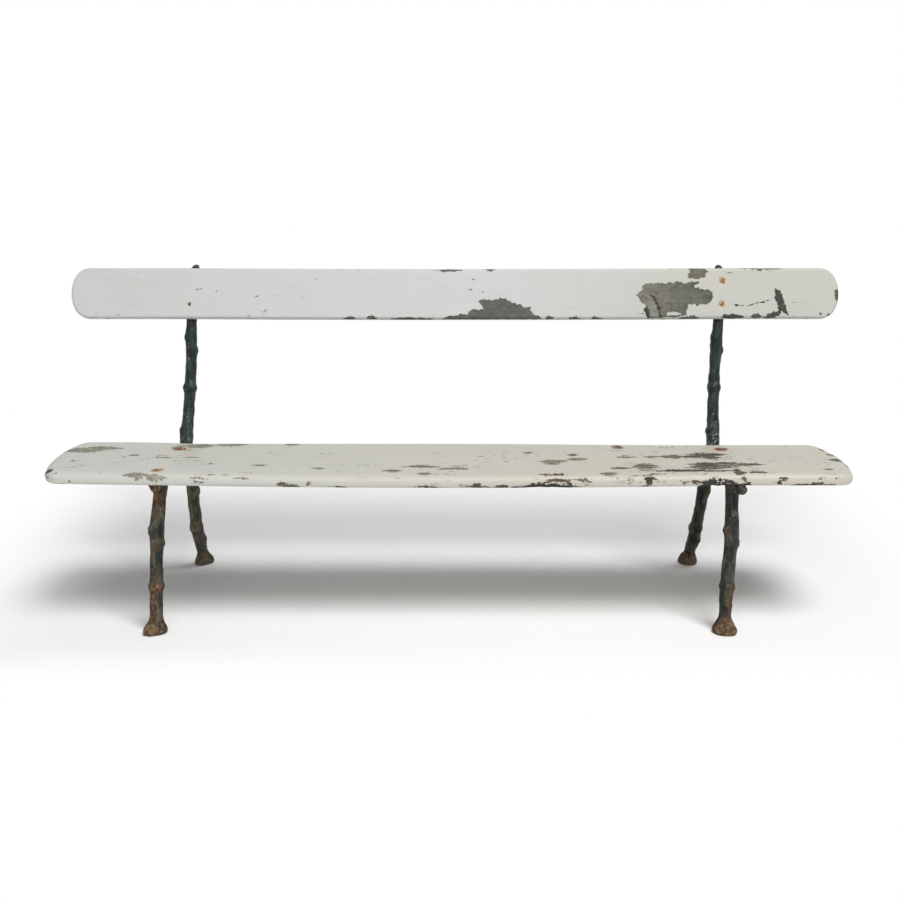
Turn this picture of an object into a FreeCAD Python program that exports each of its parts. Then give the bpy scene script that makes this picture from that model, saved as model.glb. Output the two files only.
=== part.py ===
"""Rustic garden bench: two painted boards bolted to two cast iron end frames in the form of branches.

Millimetres and degrees. X runs along the bench to the viewer's right, Y to the rear and Z up. The origin
is on the ground, halfway between the front feet and the rear feet and below the middle of the back board.
"""
import FreeCAD
import Part
import Sketcher
import os
from FreeCAD import Placement, Rotation, Vector

# Driving sizes, each a named cell of the sheet.
SIZES = [
    # Seat board
    ("seat_length", 2036),
    ("seat_depth", 318),
    ("seat_thickness", 32),
    ("seat_height", 418),
    ("seat_end_radius", 490),
    ("seat_corner_radius", 42),
    ("seat_top_round", 13),
    ("seat_under_round", 9),
    # Back board
    ("back_overhang", 22),
    ("back_height", 137),
    ("back_thickness", 27),
    ("back_end_radius", 98),
    ("back_corner_radius", 45),
    ("back_edge_round", 7),
    ("back_gap", 322),
    ("back_recline", 17),
    # Stance of the end frames
    ("seat_overhang", 298),
    ("frame_lean", 2.6),
    ("base_depth", 526),
    ("front_leg_setback", 68),
    ("front_foot_kick", 67),
    ("front_leg_offset", 6),
    ("rear_foot_offset", 7),
    ("upright_setback", 83),
    ("upright_clearance", 1.5),
    # Feet
    ("front_foot_sole_radius", 27),
    ("front_foot_bulge_radius", 30),
    ("front_foot_heel_radius", 24),
    ("rear_foot_sole_radius", 24),
    ("rear_foot_bulge_radius", 27.5),
    ("rear_foot_heel_radius", 23),
    ("foot_bulge_height", 10),
    ("foot_heel_height", 25),
    ("ankle_radius", 17.6),
    ("ankle_height", 46),
    ("front_ankle_kick", 0.10),
    ("rear_ankle_kick", 0.91),
    # Upright where the back board is fastened
    ("upright_root_radius", 17.5),
    ("upright_board_radius", 14.3),
    ("upright_top_radius", 12.6),
    ("upright_tip_radius", 11.8),
    ("upright_tip_rise", 5),
    ("upright_tip_kick", 20),
    ("upright_dome_height", 11),
    ("upright_flat_offset", 10),
    # Arm that carries the seat board
    ("arm_drop", 8),
    ("arm_nose_setback", 14),
    ("arm_nose_radius", 9),
    ("arm_lug_radius", 14),
    ("arm_crown_radius", 17),
    ("arm_waist_radius", 15),
    ("arm_bolt_radius", 16.5),
    ("arm_root_radius", 15.5),
    ("arm_root_reach", 6),
    ("lug_radius", 20),
    ("lug_drop", 17),
    ("crown_radius", 26),
    ("crown_neck_drop", 11),
    ("crown_neck_radius", 20.5),
    ("stub_setback", 15),
    ("left_stub_radius", 12),
    ("left_stub_half_height", 6.5),
    ("left_stub_reach", 9),
    ("left_stub_drop", 7),
    ("right_stub_radius", 12),
    ("right_stub_half_height", 13),
    ("right_stub_reach", 8.5),
    ("right_stub_drop", 17.5),
    # Coach bolts, washers and square nuts
    ("bolt_radius", 4),
    ("bolt_head_radius", 10),
    ("bolt_head_height", 4),
    ("bolt_neck_width", 9),
    ("bolt_neck_length", 5),
    ("bolt_end_chamfer", 0.8),
    ("bolt_projection", 4),
    ("head_recess", 1.5),
    ("head_clearance", 0.5),
    ("neck_clearance", 0.1),
    ("hole_clearance", 0.4),
    ("thread_clearance", 0.08),
    ("washer_radius", 9.5),
    ("washer_thickness", 1.8),
    ("nut_width", 13),
    ("nut_thickness", 6.5),
    ("nut_chamfer", 1),
    ("spot_margin", 1.5),
    ("front_bolt_setback", 36),
    ("rear_bolt_setback", 254),
    ("front_seat_grip", 14),
    ("rear_seat_grip", 20),
    ("back_grip", 19),
    ("back_bolt_low", 38),
    ("back_bolt_pitch", 66),
]

# Stations along each branch: share of the height, share of the bend, radius.
FRONT_LEG = [
    ("lower", 0.09, 0.16, 16.4),
    ("ring", 0.22, 0.23, 16.8),
    ("shin", 0.40, 0.29, 16.4),
    ("twig", 0.55, 0.34, 16.8),
    ("knee", 0.64, 0.40, 18.0),
    ("thigh", 0.79, 0.76, 17.0),
    ("neck", 0.90, 0.95, 17.4),
]
REAR_LEG = [
    ("lower", 0.065, 0.815, 18.0),
    ("shin", 0.135, 0.720, 17.8),
    ("knot", 0.255, 0.585, 17.4),
    ("calf", 0.405, 0.470, 16.8),
    ("thigh", 0.600, 0.350, 17.0),
    ("fork", 0.800, 0.165, 18.0),
]
UPRIGHT = [
    ("scar", 0.13, 0.17, 17.0),
    ("bend", 0.28, 0.43, 15.6),
    ("ring", 0.46, 0.69, 15.4),
    ("waist", 0.64, 0.86, 15.0),
    ("knob", 0.76, 0.915, 14.8),
    ("bump", 0.86, 0.95, 14.6),
]

# Ring knots round a branch: branch, station, radius, half height.
RINGS = [
    ("front_leg", "ring", 20.6, 20),
    ("upright", "ring", 19.2, 19),
    ("rear_leg", "knot", 19.6, 20),
]
# Knots on one side of a branch: branch, station, bearing from the viewer's right, radius, stand-out.
KNOTS = [
    ("front_leg", "knee", 195, 15, 4.0),
    ("front_leg", "twig", 345, 12, 4.5),
    ("front_leg", "ring", 270, 9, 5.5),
    ("rear_leg", "knot", 180, 13, 4.5),
    ("rear_leg", "shin", 350, 12, 3.5),
    ("rear_leg", "thigh", 0, 14, 4.0),
    ("upright", "scar", 185, 14, 3.5),
    ("upright", "ring", 265, 8, 5.5),
    ("upright", "knob", 355, 12.5, 4.5),
    ("upright", "bump", 180, 14, 3.0),
]

doc = FreeCAD.newDocument("garden_bench")
sheet = doc.addObject("Spreadsheet::Sheet", "sizes")


def fill_sheet():
    """Write every driving size into its own named cell."""
    rows = list(SIZES)
    for branch, stations in (("front_leg", FRONT_LEG), ("rear_leg", REAR_LEG), ("upright", UPRIGHT)):
        for station, rise, bend, radius in stations:
            rows.append((f"{branch}_{station}_rise", rise))
            rows.append((f"{branch}_{station}_bend", bend))
            rows.append((f"{branch}_{station}_radius", radius))
    for branch, station, radius, half_height in RINGS:
        rows.append((f"{branch}_{station}_collar_radius", radius))
        rows.append((f"{branch}_{station}_collar_half_height", half_height))
    for branch, station, bearing, radius, proud in KNOTS:
        rows.append((f"{branch}_{station}_knot_bearing", bearing))
        rows.append((f"{branch}_{station}_knot_radius", radius))
        rows.append((f"{branch}_{station}_knot_proud", proud))
    for number, (alias, value) in enumerate(rows, 1):
        sheet.set(f"A{number}", alias)
        sheet.set(f"B{number}", str(value))
        sheet.setAlias(f"B{number}", alias)
    doc.recompute()


fill_sheet()

# Levels and lines that the pieces share, worked out from the sheet.
SEAT_UNDER = "(sizes.seat_height - sizes.seat_thickness)"
SEAT_MIDDLE = "(sizes.seat_height - sizes.seat_thickness / 2)"
FRONT_FOOT = "(-sizes.base_depth / 2)"
REAR_FOOT = "(sizes.base_depth / 2)"
LEG_TOP = f"({FRONT_FOOT} + sizes.front_foot_kick)"
SEAT_FRONT = f"({LEG_TOP} - sizes.front_leg_setback)"
SEAT_BACK = f"({SEAT_FRONT} + sizes.seat_depth)"
UPRIGHT_ROOT = f"({SEAT_BACK} + sizes.upright_clearance + sizes.upright_root_radius)"
BACK_FOOT = "(sizes.seat_height + sizes.back_gap)"
UPRIGHT_BACK = f"({UPRIGHT_ROOT} + sizes.upright_setback)"
RISE = "cos(sizes.back_recline)"
RUN = "sin(sizes.back_recline)"
PLANE_Y = f"({UPRIGHT_BACK} - sizes.upright_flat_offset * {RISE})"
PLANE_Z = f"({BACK_FOOT} + sizes.upright_flat_offset * {RUN})"
FRONT_BOLT = f"({SEAT_FRONT} + sizes.front_bolt_setback)"
REAR_BOLT = f"({SEAT_FRONT} + sizes.rear_bolt_setback)"
BACK_LENGTH = "(sizes.seat_length + 2 * sizes.back_overhang)"
FRAME_REACH = "(sizes.seat_length / 2 - sizes.seat_overhang)"
SIDES = {"left": f"(-{FRAME_REACH})", "right": FRAME_REACH}


def lean_at(height):
    """Sideways step of the leaning frames at a height; none at the back board's lower edge."""
    return f"(tan(sizes.frame_lean) * ({height} - {BACK_FOOT}))"


SEAT_X = lean_at(SEAT_UNDER)
CROWN_X = f"({SEAT_X} - sizes.front_leg_offset)"


def on_plane(along):
    """Y and Z of the point on the back board's rear face, a length up from its lower edge."""
    return f"({PLANE_Y} + ({along}) * {RUN})", f"({PLANE_Z} + ({along}) * {RISE})"


def new_body(label, x="0", y="0", z="0", turn=None):
    """Body with its own placement; turn is a rotation about X."""
    body = doc.addObject("PartDesign::Body", label)
    body.Label = label
    place(body, x, y, z, turn)
    return body


def place(feature, x, y, z, turn=None):
    """Bind the placement of a body or a feature to the sheet."""
    feature.Placement = Placement(Vector(0, 0, 0), Rotation(Vector(1, 0, 0), 1 if turn else 0))
    feature.setExpression("Placement.Base.x", x)
    feature.setExpression("Placement.Base.y", y)
    feature.setExpression("Placement.Base.z", z)
    if turn:
        feature.setExpression("Placement.Rotation.Angle", turn)


def new_sketch(body, name, plane, x="0", y="0", z="0", spin=0):
    """Sketch on one of the body's own planes, moved within the plane's axes and spun in the plane."""
    sketch = body.newObject("Sketcher::SketchObject", name)
    face = next(item for item in body.Origin.OriginFeatures if item.Role == plane)
    sketch.AttachmentSupport = [(face, "")]
    sketch.MapMode = "FlatFace"
    sketch.AttachmentOffset = Placement(Vector(0, 0, 0), Rotation(Vector(0, 0, 1), spin))
    sketch.setExpression("AttachmentOffset.Base.x", x)
    sketch.setExpression("AttachmentOffset.Base.y", y)
    sketch.setExpression("AttachmentOffset.Base.z", z)
    return sketch


def bind(sketch, kind, where, name, value, expression):
    """Add a named dimension to a sketch and bind it to the sheet."""
    index = sketch.addConstraint(Sketcher.Constraint(kind, *where, value))
    sketch.renameConstraint(index, name)
    sketch.setExpression(f"Constraints.{name}", expression)


def circle(sketch, radius, name="radius"):
    """Circle round the sketch's origin."""
    ring = sketch.addGeometry(Part.Circle(Vector(0, 0, 0), Vector(0, 0, 1), 10))
    sketch.addConstraint(Sketcher.Constraint("Coincident", ring, 3, -1, 1))
    bind(sketch, "Radius", (ring,), name, 10, radius)


def ball(body, name, x, y, z, across, high):
    """Round knob added to the body, its seam turned to the rear and away from the branch's own seam."""
    feature = body.newObject("PartDesign::AdditiveEllipsoid", name)
    feature.setExpression("Radius1", high)
    feature.setExpression("Radius2", across)
    feature.setExpression("Radius3", across)
    place(feature, x, y, z)
    feature.Placement = Placement(Vector(0, 0, 0), Rotation(Vector(0, 0, 1), 50))


def bore(body, name, radius, depth, x, y, z, turn=None):
    """Round hole cut from the body, running up its own axis from a start point."""
    feature = body.newObject("PartDesign::SubtractiveCylinder", name)
    feature.setExpression("Radius", radius)
    feature.setExpression("Height", depth)
    place(feature, x, y, z, turn)


def block(body, name, kind, sizes, x, y, z, turn=None):
    """Box added to or cut from the body, with its least corner at x, y, z."""
    feature = body.newObject(f"PartDesign::{kind}Box", name)
    for side, size in zip(("Length", "Width", "Height"), sizes):
        feature.setExpression(side, size)
    place(feature, x, y, z, turn)


def edges(body, wanted):
    """Names of the edges of the body's last feature that a test picks out."""
    doc.recompute()
    names = []
    for number, edge in enumerate(body.Tip.Shape.Edges, 1):
        if wanted(edge):
            names.append(f"Edge{number}")
    return names


def ease(body, name, kind, picked, size):
    """Fillet or chamfer on the picked edges."""
    base = body.Tip
    feature = body.newObject(f"PartDesign::{kind}", name)
    feature.Base = (base, picked)
    feature.setExpression("Radius" if kind == "Fillet" else "Size", size)
    doc.recompute()


def plank(body, plane, offset, length, width, thickness, end_radius, corner_radius):
    """Board with shallow curved ends and rounded corners, padded from its outline."""
    sketch = new_sketch(body, f"{body.Label}_outline", plane, y=offset)
    upper = sketch.addGeometry(Part.LineSegment(Vector(-900, 80, 0), Vector(900, 80, 0)))
    lower = sketch.addGeometry(Part.LineSegment(Vector(900, -80, 0), Vector(-900, -80, 0)))
    bow = Part.Circle(Vector(700, 0, 0), Vector(0, 0, 1), 215)
    right = sketch.addGeometry(Part.ArcOfCircle(bow, -0.38, 0.38))
    bow = Part.Circle(Vector(-700, 0, 0), Vector(0, 0, 1), 215)
    left = sketch.addGeometry(Part.ArcOfCircle(bow, 2.76, 3.52))
    sketch.addConstraint(Sketcher.Constraint("Coincident", upper, 2, right, 2))
    sketch.addConstraint(Sketcher.Constraint("Coincident", right, 1, lower, 1))
    sketch.addConstraint(Sketcher.Constraint("Coincident", lower, 2, left, 2))
    sketch.addConstraint(Sketcher.Constraint("Coincident", left, 1, upper, 1))
    sketch.addConstraint(Sketcher.Constraint("Horizontal", upper))
    sketch.addConstraint(Sketcher.Constraint("Horizontal", lower))
    sketch.addConstraint(Sketcher.Constraint("PointOnObject", right, 3, -1))
    sketch.addConstraint(Sketcher.Constraint("Symmetric", right, 3, left, 3, -1, 1))
    sketch.addConstraint(Sketcher.Constraint("Equal", right, left))
    bind(sketch, "Radius", (right,), "end_radius", 215, end_radius)
    bind(sketch, "DistanceX", (-1, 1, right, 3), "centre", 700, f"{length} / 2 - {end_radius}")
    bind(sketch, "DistanceY", (-1, 1, right, 2), "upper", 80, f"{width} / 2")
    bind(sketch, "DistanceY", (right, 1, -1, 1), "lower", 80, f"{width} / 2")
    pad = body.newObject("PartDesign::Pad", f"{body.Label}_pad")
    pad.Profile = sketch
    pad.setExpression("Length", thickness)
    through = edges(body, is_straight_across(plane))
    ease(body, f"{body.Label}_corners", "Fillet", through, corner_radius)


def is_straight_across(plane):
    """Test for the straight edges that run through the board's thickness."""
    axis = Vector(0, 0, 1) if plane == "XY_Plane" else Vector(0, 1, 0)

    def wanted(edge):
        ends = edge.Vertexes[-1].Point - edge.Vertexes[0].Point
        return len(edge.Vertexes) == 2 and abs(abs(ends * axis) - ends.Length) < 1e-6

    return wanted


def at_level(axis, level):
    """Test for the edges that lie whole at one level along an axis of the body."""
    def wanted(edge):
        box = edge.BoundBox
        low, high = (box.ZMin, box.ZMax) if axis == "z" else (box.YMin, box.YMax)
        return abs(low - level) < 0.01 and abs(high - level) < 0.01

    return wanted


# Seat board: one thick plank, round at the ends and along every edge, let in for four bolt heads.
seat = new_body("seat_board", SEAT_X, f"{SEAT_FRONT} + sizes.seat_depth / 2", SEAT_UNDER)
plank(
    seat, "XY_Plane", "0", "sizes.seat_length", "sizes.seat_depth", "sizes.seat_thickness",
    "sizes.seat_end_radius", "sizes.seat_corner_radius",
)
rim = edges(seat, at_level("z", sheet.seat_thickness))
ease(seat, "seat_top_edge", "Fillet", rim, "sizes.seat_top_round")
rim = edges(seat, at_level("z", 0))
ease(seat, "seat_under_edge", "Fillet", rim, "sizes.seat_under_round")

# Back board: a thinner plank of the same form, reclined against the uprights.
back = new_body("back_board", "0", PLANE_Y, PLANE_Z, "-sizes.back_recline")
plank(
    back, "XZ_Plane", "sizes.back_height / 2", BACK_LENGTH, "sizes.back_height",
    "sizes.back_thickness", "sizes.back_end_radius", "sizes.back_corner_radius",
)
rim = edges(back, at_level("y", 0)) + edges(back, at_level("y", -sheet.back_thickness))
ease(back, "back_edges", "Fillet", rim, "sizes.back_edge_round")


def branch_points():
    """Centre and radius of every station: name -> (x, y, z, radius), as expressions."""
    points = {}
    span = f"({SEAT_UNDER} - sizes.ankle_height)"
    for station, *_ in FRONT_LEG:
        cell = f"sizes.front_leg_{station}"
        height = f"(sizes.ankle_height + {cell}_rise * {span})"
        x = f"{lean_at(height)} - sizes.front_leg_offset"
        y = f"({FRONT_FOOT} + {cell}_bend * sizes.front_foot_kick)"
        points["front_leg", station] = (x, y, height, f"{cell}_radius")
    span = f"({SEAT_MIDDLE} - sizes.ankle_height)"
    for station, *_ in REAR_LEG:
        cell = f"sizes.rear_leg_{station}"
        height = f"(sizes.ankle_height + {cell}_rise * {span})"
        y = f"({UPRIGHT_ROOT} + {cell}_bend * ({REAR_FOOT} - {UPRIGHT_ROOT}))"
        x = f"{lean_at(height)} + {cell}_bend * sizes.rear_foot_offset"
        points["rear_leg", station] = (x, y, height, f"{cell}_radius")
    span = f"({BACK_FOOT} - {SEAT_MIDDLE})"
    for station, *_ in UPRIGHT:
        cell = f"sizes.upright_{station}"
        height = f"({SEAT_MIDDLE} + {cell}_rise * {span})"
        y = f"({UPRIGHT_ROOT} + {cell}_bend * sizes.upright_setback)"
        points["upright", station] = (lean_at(height), y, height, f"{cell}_radius")
    return points


POINTS = branch_points()


def foot(end, y, ankle_y, step):
    """Stations of a flared foot from its flat sole to the ankle."""
    rows = [
        (y, "0", f"sizes.{end}_foot_sole_radius"),
        (y, "sizes.foot_bulge_height", f"sizes.{end}_foot_bulge_radius"),
        (y, "sizes.foot_heel_height", f"sizes.{end}_foot_heel_radius"),
        (ankle_y, "sizes.ankle_height", "sizes.ankle_radius"),
    ]
    return [(f"{lean_at(height)} + {step}", along, height, radius) for along, height, radius in rows]


def loft(body, name, stations, plane="XY_Plane"):
    """Smooth branch through round sections, level ones or, along an arm, upright ones."""
    sections = []
    for number, (x, y, z, radius) in enumerate(stations):
        spot = (x, y, z) if plane == "XY_Plane" else (x, z, f"-({y})")
        section = new_sketch(body, f"{body.Label}_{name}_{number}", plane, *spot, spin=115)
        circle(section, radius)
        sections.append(section)
    feature = body.newObject("PartDesign::AdditiveLoft", f"{body.Label}_{name}")
    feature.Profile = sections[0]
    feature.Sections = sections[1:]


def frame_pattern():
    """Form of both castings: rear leg and upright in one branch, front leg, arm, knots, flats, holes."""
    body = new_body("end_frame_pattern")

    # Rear branch, from the sole through the bend at the seat to the rounded tip.
    ankle = f"({UPRIGHT_ROOT} + sizes.rear_ankle_kick * ({REAR_FOOT} - {UPRIGHT_ROOT}))"
    stations = foot("rear", REAR_FOOT, ankle, "sizes.rear_foot_offset")
    stations += [POINTS["rear_leg", row[0]] for row in REAR_LEG]
    stations.append((lean_at(SEAT_MIDDLE), UPRIGHT_ROOT, SEAT_MIDDLE, "sizes.upright_root_radius"))
    stations += [POINTS["upright", row[0]] for row in UPRIGHT]
    tip = "sizes.back_height + sizes.upright_tip_rise"
    top_bolt = "sizes.back_bolt_low + sizes.back_bolt_pitch"
    for along, kick, radius in (
        ("0", 0, "sizes.upright_board_radius"),
        (f"0.35 * ({top_bolt})", 0, "(0.65 * sizes.upright_board_radius + 0.35 * sizes.upright_top_radius)"),
        (f"0.70 * ({top_bolt})", 0, "(0.30 * sizes.upright_board_radius + 0.70 * sizes.upright_top_radius)"),
        (top_bolt, 0, "sizes.upright_top_radius"),
        (tip, 0.60, "sizes.upright_tip_radius"),
        (f"{tip} + 0.55 * sizes.upright_dome_height", 0.80, "0.80 * sizes.upright_tip_radius"),
        (f"{tip} + 0.86 * sizes.upright_dome_height", 0.93, "0.48 * sizes.upright_tip_radius"),
        (f"{tip} + sizes.upright_dome_height", 1, "0.12 * sizes.upright_tip_radius"),
    ):
        height = f"({BACK_FOOT} + ({along}) * {RISE})"
        y = f"({UPRIGHT_BACK} + ({along}) * {RUN} + {kick} * sizes.upright_tip_kick)"
        stations.append((lean_at(height), y, height, radius))
    loft(body, "rear_branch", stations)

    # Front leg, flaring into a crown under the seat board.
    ankle = f"({FRONT_FOOT} + sizes.front_ankle_kick * sizes.front_foot_kick)"
    stations = foot("front", FRONT_FOOT, ankle, "-sizes.front_leg_offset")
    stations += [POINTS["front_leg", row[0]] for row in FRONT_LEG]
    for height, radius in (
        (f"({SEAT_UNDER} - sizes.crown_neck_drop)", "sizes.crown_neck_radius"),
        (f"({SEAT_UNDER} + 1)", "sizes.crown_radius"),
    ):
        stations.append((f"{lean_at(height)} - sizes.front_leg_offset", LEG_TOP, height, radius))
    loft(body, "front_leg", stations)

    # Arm under the seat board, from a lug in front of the leg to the rear branch.
    level = f"({SEAT_UNDER} - sizes.arm_drop)"
    shift = lean_at(level)
    nose = f"({SEAT_FRONT} + sizes.arm_nose_setback)"
    stations = []
    for y, step, radius in (
        (f"({nose} - sizes.arm_nose_radius / 2)", 1, "sizes.arm_nose_radius / 2"),
        (nose, 1, "sizes.arm_nose_radius"),
        (FRONT_BOLT, 1, "sizes.arm_lug_radius"),
        (LEG_TOP, 1, "sizes.arm_crown_radius"),
        (f"(({LEG_TOP} + {REAR_BOLT}) / 2)", 0.5, "sizes.arm_waist_radius"),
        (REAR_BOLT, 0, "sizes.arm_bolt_radius"),
        (f"({UPRIGHT_ROOT} + sizes.arm_root_reach)", 0, "sizes.arm_root_radius"),
    ):
        stations.append((f"{shift} - {step} * sizes.front_leg_offset", y, level, radius))
    loft(body, "arm", stations, "XZ_Plane")
    ball(body, "lug", CROWN_X, FRONT_BOLT, SEAT_UNDER, "sizes.lug_radius", "sizes.lug_drop")

    # Ring knots and side knots.
    for branch, station, *_ in RINGS:
        x, y, z, radius = POINTS[branch, station]
        collar = f"sizes.{branch}_{station}_collar"
        ball(body, f"{branch}_{station}_collar", x, y, z, f"{collar}_radius", f"{collar}_half_height")
    for branch, station, *_ in KNOTS:
        x, y, z, radius = POINTS[branch, station]
        knot = f"sizes.{branch}_{station}_knot"
        reach = f"({radius} + {knot}_proud - {knot}_radius)"
        ball(body, f"{branch}_{station}_knot", f"{x} + {reach} * cos({knot}_bearing)",
             f"{y} + {reach} * sin({knot}_bearing)", z, f"{knot}_radius", f"{knot}_radius * 1.2")

    # Flats for the two boards.
    wide = "6 * sizes.crown_radius"
    block(body, "seat_flat", "Subtractive",
          (wide, f"{SEAT_BACK} + sizes.upright_clearance / 2 - {SEAT_FRONT} + sizes.crown_radius",
           "sizes.crown_radius"),
          f"-{wide} / 2", f"{SEAT_FRONT} - sizes.crown_radius", SEAT_UNDER)
    block(body, "back_flat", "Subtractive",
          (wide, "3 * sizes.upright_root_radius", "sizes.back_height + 2 * sizes.upright_clearance"),
          f"-{wide} / 2",
          f"{PLANE_Y} - 3 * sizes.upright_root_radius * {RISE} - sizes.upright_clearance * {RUN}",
          f"{PLANE_Z} + 3 * sizes.upright_root_radius * {RUN} - sizes.upright_clearance * {RISE}",
          "-sizes.back_recline")

    # Bolt holes with a flat for each washer.
    hole = "sizes.bolt_radius + sizes.hole_clearance"
    spot = "sizes.washer_radius + sizes.spot_margin"
    room = "(sizes.washer_thickness + sizes.nut_thickness + sizes.bolt_projection + sizes.spot_margin)"
    for end, x, y in (("front", CROWN_X, FRONT_BOLT), ("rear", SEAT_X, REAR_BOLT)):
        bore(body, f"{end}_seat_hole", hole, f"{room} + sizes.{end}_seat_grip + 1", x, y,
             f"{SEAT_UNDER} - sizes.{end}_seat_grip - {room}")
        bore(body, f"{end}_seat_spot", spot, room, x, y, f"{SEAT_UNDER} - sizes.{end}_seat_grip - {room}")
    for level, along in BACK_BOLTS:
        y, z = on_plane(along)
        turn = "-90 - sizes.back_recline"
        bore(body, f"{level}_back_hole", hole, f"{room} + sizes.back_grip", lean_at(z), y, z, turn)
        bore(body, f"{level}_back_spot", spot, room, lean_at(z),
             f"{y} + sizes.back_grip * {RISE}", f"{z} - sizes.back_grip * {RUN}", turn)
    return body


def end_frame(side, pattern):
    """Casting from the pattern, with a cut twig on the outer side under the seat board."""
    body = new_body(f"{side}_end_frame", SIDES[side])
    body.BaseFeature = pattern
    stub = f"sizes.{side}_stub"
    outward = "-" if side == "left" else "+"
    ball(body, f"{side}_stub", f"{CROWN_X} {outward} {stub}_reach", f"{SEAT_FRONT} + sizes.stub_setback",
         f"{SEAT_UNDER} - {stub}_drop", f"{stub}_radius", f"{stub}_half_height")
    return body


BACK_BOLTS = [
    ("lower", "sizes.back_bolt_low"),
    ("upper", "(sizes.back_bolt_low + sizes.back_bolt_pitch)"),
]

# Bolt places: name -> x, y and z of the head's bearing face, turn, board thickness and frame grip.
BOLTS = {}
for side, side_x in SIDES.items():
    for end, y, step in (("front", FRONT_BOLT, 1), ("rear", REAR_BOLT, 0)):
        x = f"({side_x} + {SEAT_X} - {step} * sizes.front_leg_offset)"
        z = "(sizes.seat_height - sizes.head_recess)"
        grip = f"sizes.{end}_seat_grip"
        BOLTS[f"{side}_{end}_seat"] = (x, y, z, None, "sizes.seat_thickness", grip)
    for level, along in BACK_BOLTS:
        y, z = on_plane(along)
        x = f"({side_x} + {lean_at(z)})"
        depth = "(sizes.back_thickness - sizes.head_recess)"
        face = (x, f"({y} - {depth} * {RISE})", f"({z} + {depth} * {RUN})", "90 - sizes.back_recline")
        BOLTS[f"{side}_{level}_back"] = (*face, "sizes.back_thickness", "sizes.back_grip")

# Let the bolt heads, their square necks and their shanks into the boards.
for name, (x, y, z, turn, board, grip) in BOLTS.items():
    head = "sizes.bolt_head_radius + sizes.head_clearance"
    hole = "sizes.bolt_radius + sizes.hole_clearance"
    neck = "(sizes.bolt_neck_width + 2 * sizes.neck_clearance)"
    sunk = f"({board} - sizes.head_recess)"
    if name.endswith("seat"):
        across = f"{x} - {SEAT_X}"
        along = f"{y} - {SEAT_FRONT} - sizes.seat_depth / 2"
        bore(seat, f"{name}_hole", hole, f"{board} + 2", across, along, "-1")
        bore(seat, f"{name}_recess", head, "sizes.head_recess + 1", across, along, sunk)
        block(seat, f"{name}_socket", "Subtractive", (neck, neck, "sizes.bolt_neck_length"),
              f"{across} - {neck} / 2", f"{along} - {neck} / 2", f"{sunk} - sizes.bolt_neck_length")
    else:
        along = dict(BACK_BOLTS)[name.split("_")[1]]
        bore(back, f"{name}_hole", hole, f"{board} + 2", x, "1", along, "90")
        bore(back, f"{name}_recess", head, "sizes.head_recess + 1", x, f"-{sunk}", along, "90")
        block(back, f"{name}_socket", "Subtractive", (neck, "sizes.bolt_neck_length", neck),
              f"{x} - {neck} / 2", f"-{sunk}", f"{along} - {neck} / 2")

pattern = frame_pattern()
frames = [end_frame(side, pattern) for side in SIDES]


def coach_bolt(label, x, y, z, turn, board, grip):
    """Bolt with a low round head and a square neck; local Z points out of the head."""
    body = new_body(label, x, y, z, turn)
    stack = f"({board} - sizes.head_recess + {grip} + sizes.washer_thickness + sizes.nut_thickness)"
    profile = new_sketch(body, f"{label}_profile", "XZ_Plane")
    points = [Vector(0, 4, 0), Vector(10, 0, 0), Vector(4, 0, 0), Vector(4, -60, 0), Vector(0, -60, 0)]
    round_head = Part.Circle(Vector(0, -10.5, 0), Vector(0, 0, 1), 14.5)
    dome = profile.addGeometry(Part.ArcOfCircle(round_head, 0.81, 1.5708))
    under = profile.addGeometry(Part.LineSegment(points[1], points[2]))
    shank = profile.addGeometry(Part.LineSegment(points[2], points[3]))
    end = profile.addGeometry(Part.LineSegment(points[3], points[4]))
    axis = profile.addGeometry(Part.LineSegment(points[4], points[0]))
    profile.addConstraint(Sketcher.Constraint("Coincident", dome, 1, under, 1))
    profile.addConstraint(Sketcher.Constraint("Coincident", under, 2, shank, 1))
    profile.addConstraint(Sketcher.Constraint("Coincident", shank, 2, end, 1))
    profile.addConstraint(Sketcher.Constraint("Coincident", end, 2, axis, 1))
    profile.addConstraint(Sketcher.Constraint("Coincident", axis, 2, dome, 2))
    profile.addConstraint(Sketcher.Constraint("PointOnObject", axis, 1, -2))
    profile.addConstraint(Sketcher.Constraint("PointOnObject", axis, 2, -2))
    profile.addConstraint(Sketcher.Constraint("PointOnObject", dome, 3, -2))
    profile.addConstraint(Sketcher.Constraint("PointOnObject", under, 1, -1))
    profile.addConstraint(Sketcher.Constraint("PointOnObject", under, 2, -1))
    profile.addConstraint(Sketcher.Constraint("Vertical", shank))
    profile.addConstraint(Sketcher.Constraint("Horizontal", end))
    bind(profile, "DistanceY", (-1, 1, axis, 2), "head_height", 4, "sizes.bolt_head_height")
    bind(profile, "DistanceX", (-1, 1, under, 1), "head_radius", 10, "sizes.bolt_head_radius")
    bind(profile, "DistanceX", (-1, 1, under, 2), "shank_radius", 4, "sizes.bolt_radius")
    bind(profile, "DistanceY", (axis, 1, -1, 1), "reach", 60, f"{stack} + sizes.bolt_projection")
    turned = body.newObject("PartDesign::Revolution", f"{label}_turned")
    turned.Profile = profile
    turned.ReferenceAxis = (profile, ["V_Axis"])
    turned.Angle = 360
    neck = "sizes.bolt_neck_width"
    block(body, f"{label}_neck", "Additive", (neck, neck, "sizes.bolt_neck_length"),
          f"-{neck} / 2", f"-{neck} / 2", "-sizes.bolt_neck_length")
    ends = edges(body, lambda edge: is_shank_end(body, edge))
    ease(body, f"{label}_end", "Chamfer", ends, "sizes.bolt_end_chamfer")
    return body


def is_shank_end(body, edge):
    """Test for the round edge at the far end of a bolt's shank."""
    reach = min(vertex.Point.z for vertex in body.Tip.Shape.Vertexes)
    return len(edge.Vertexes) == 1 and abs(edge.Vertexes[0].Point.z - reach) < 1e-6


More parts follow.
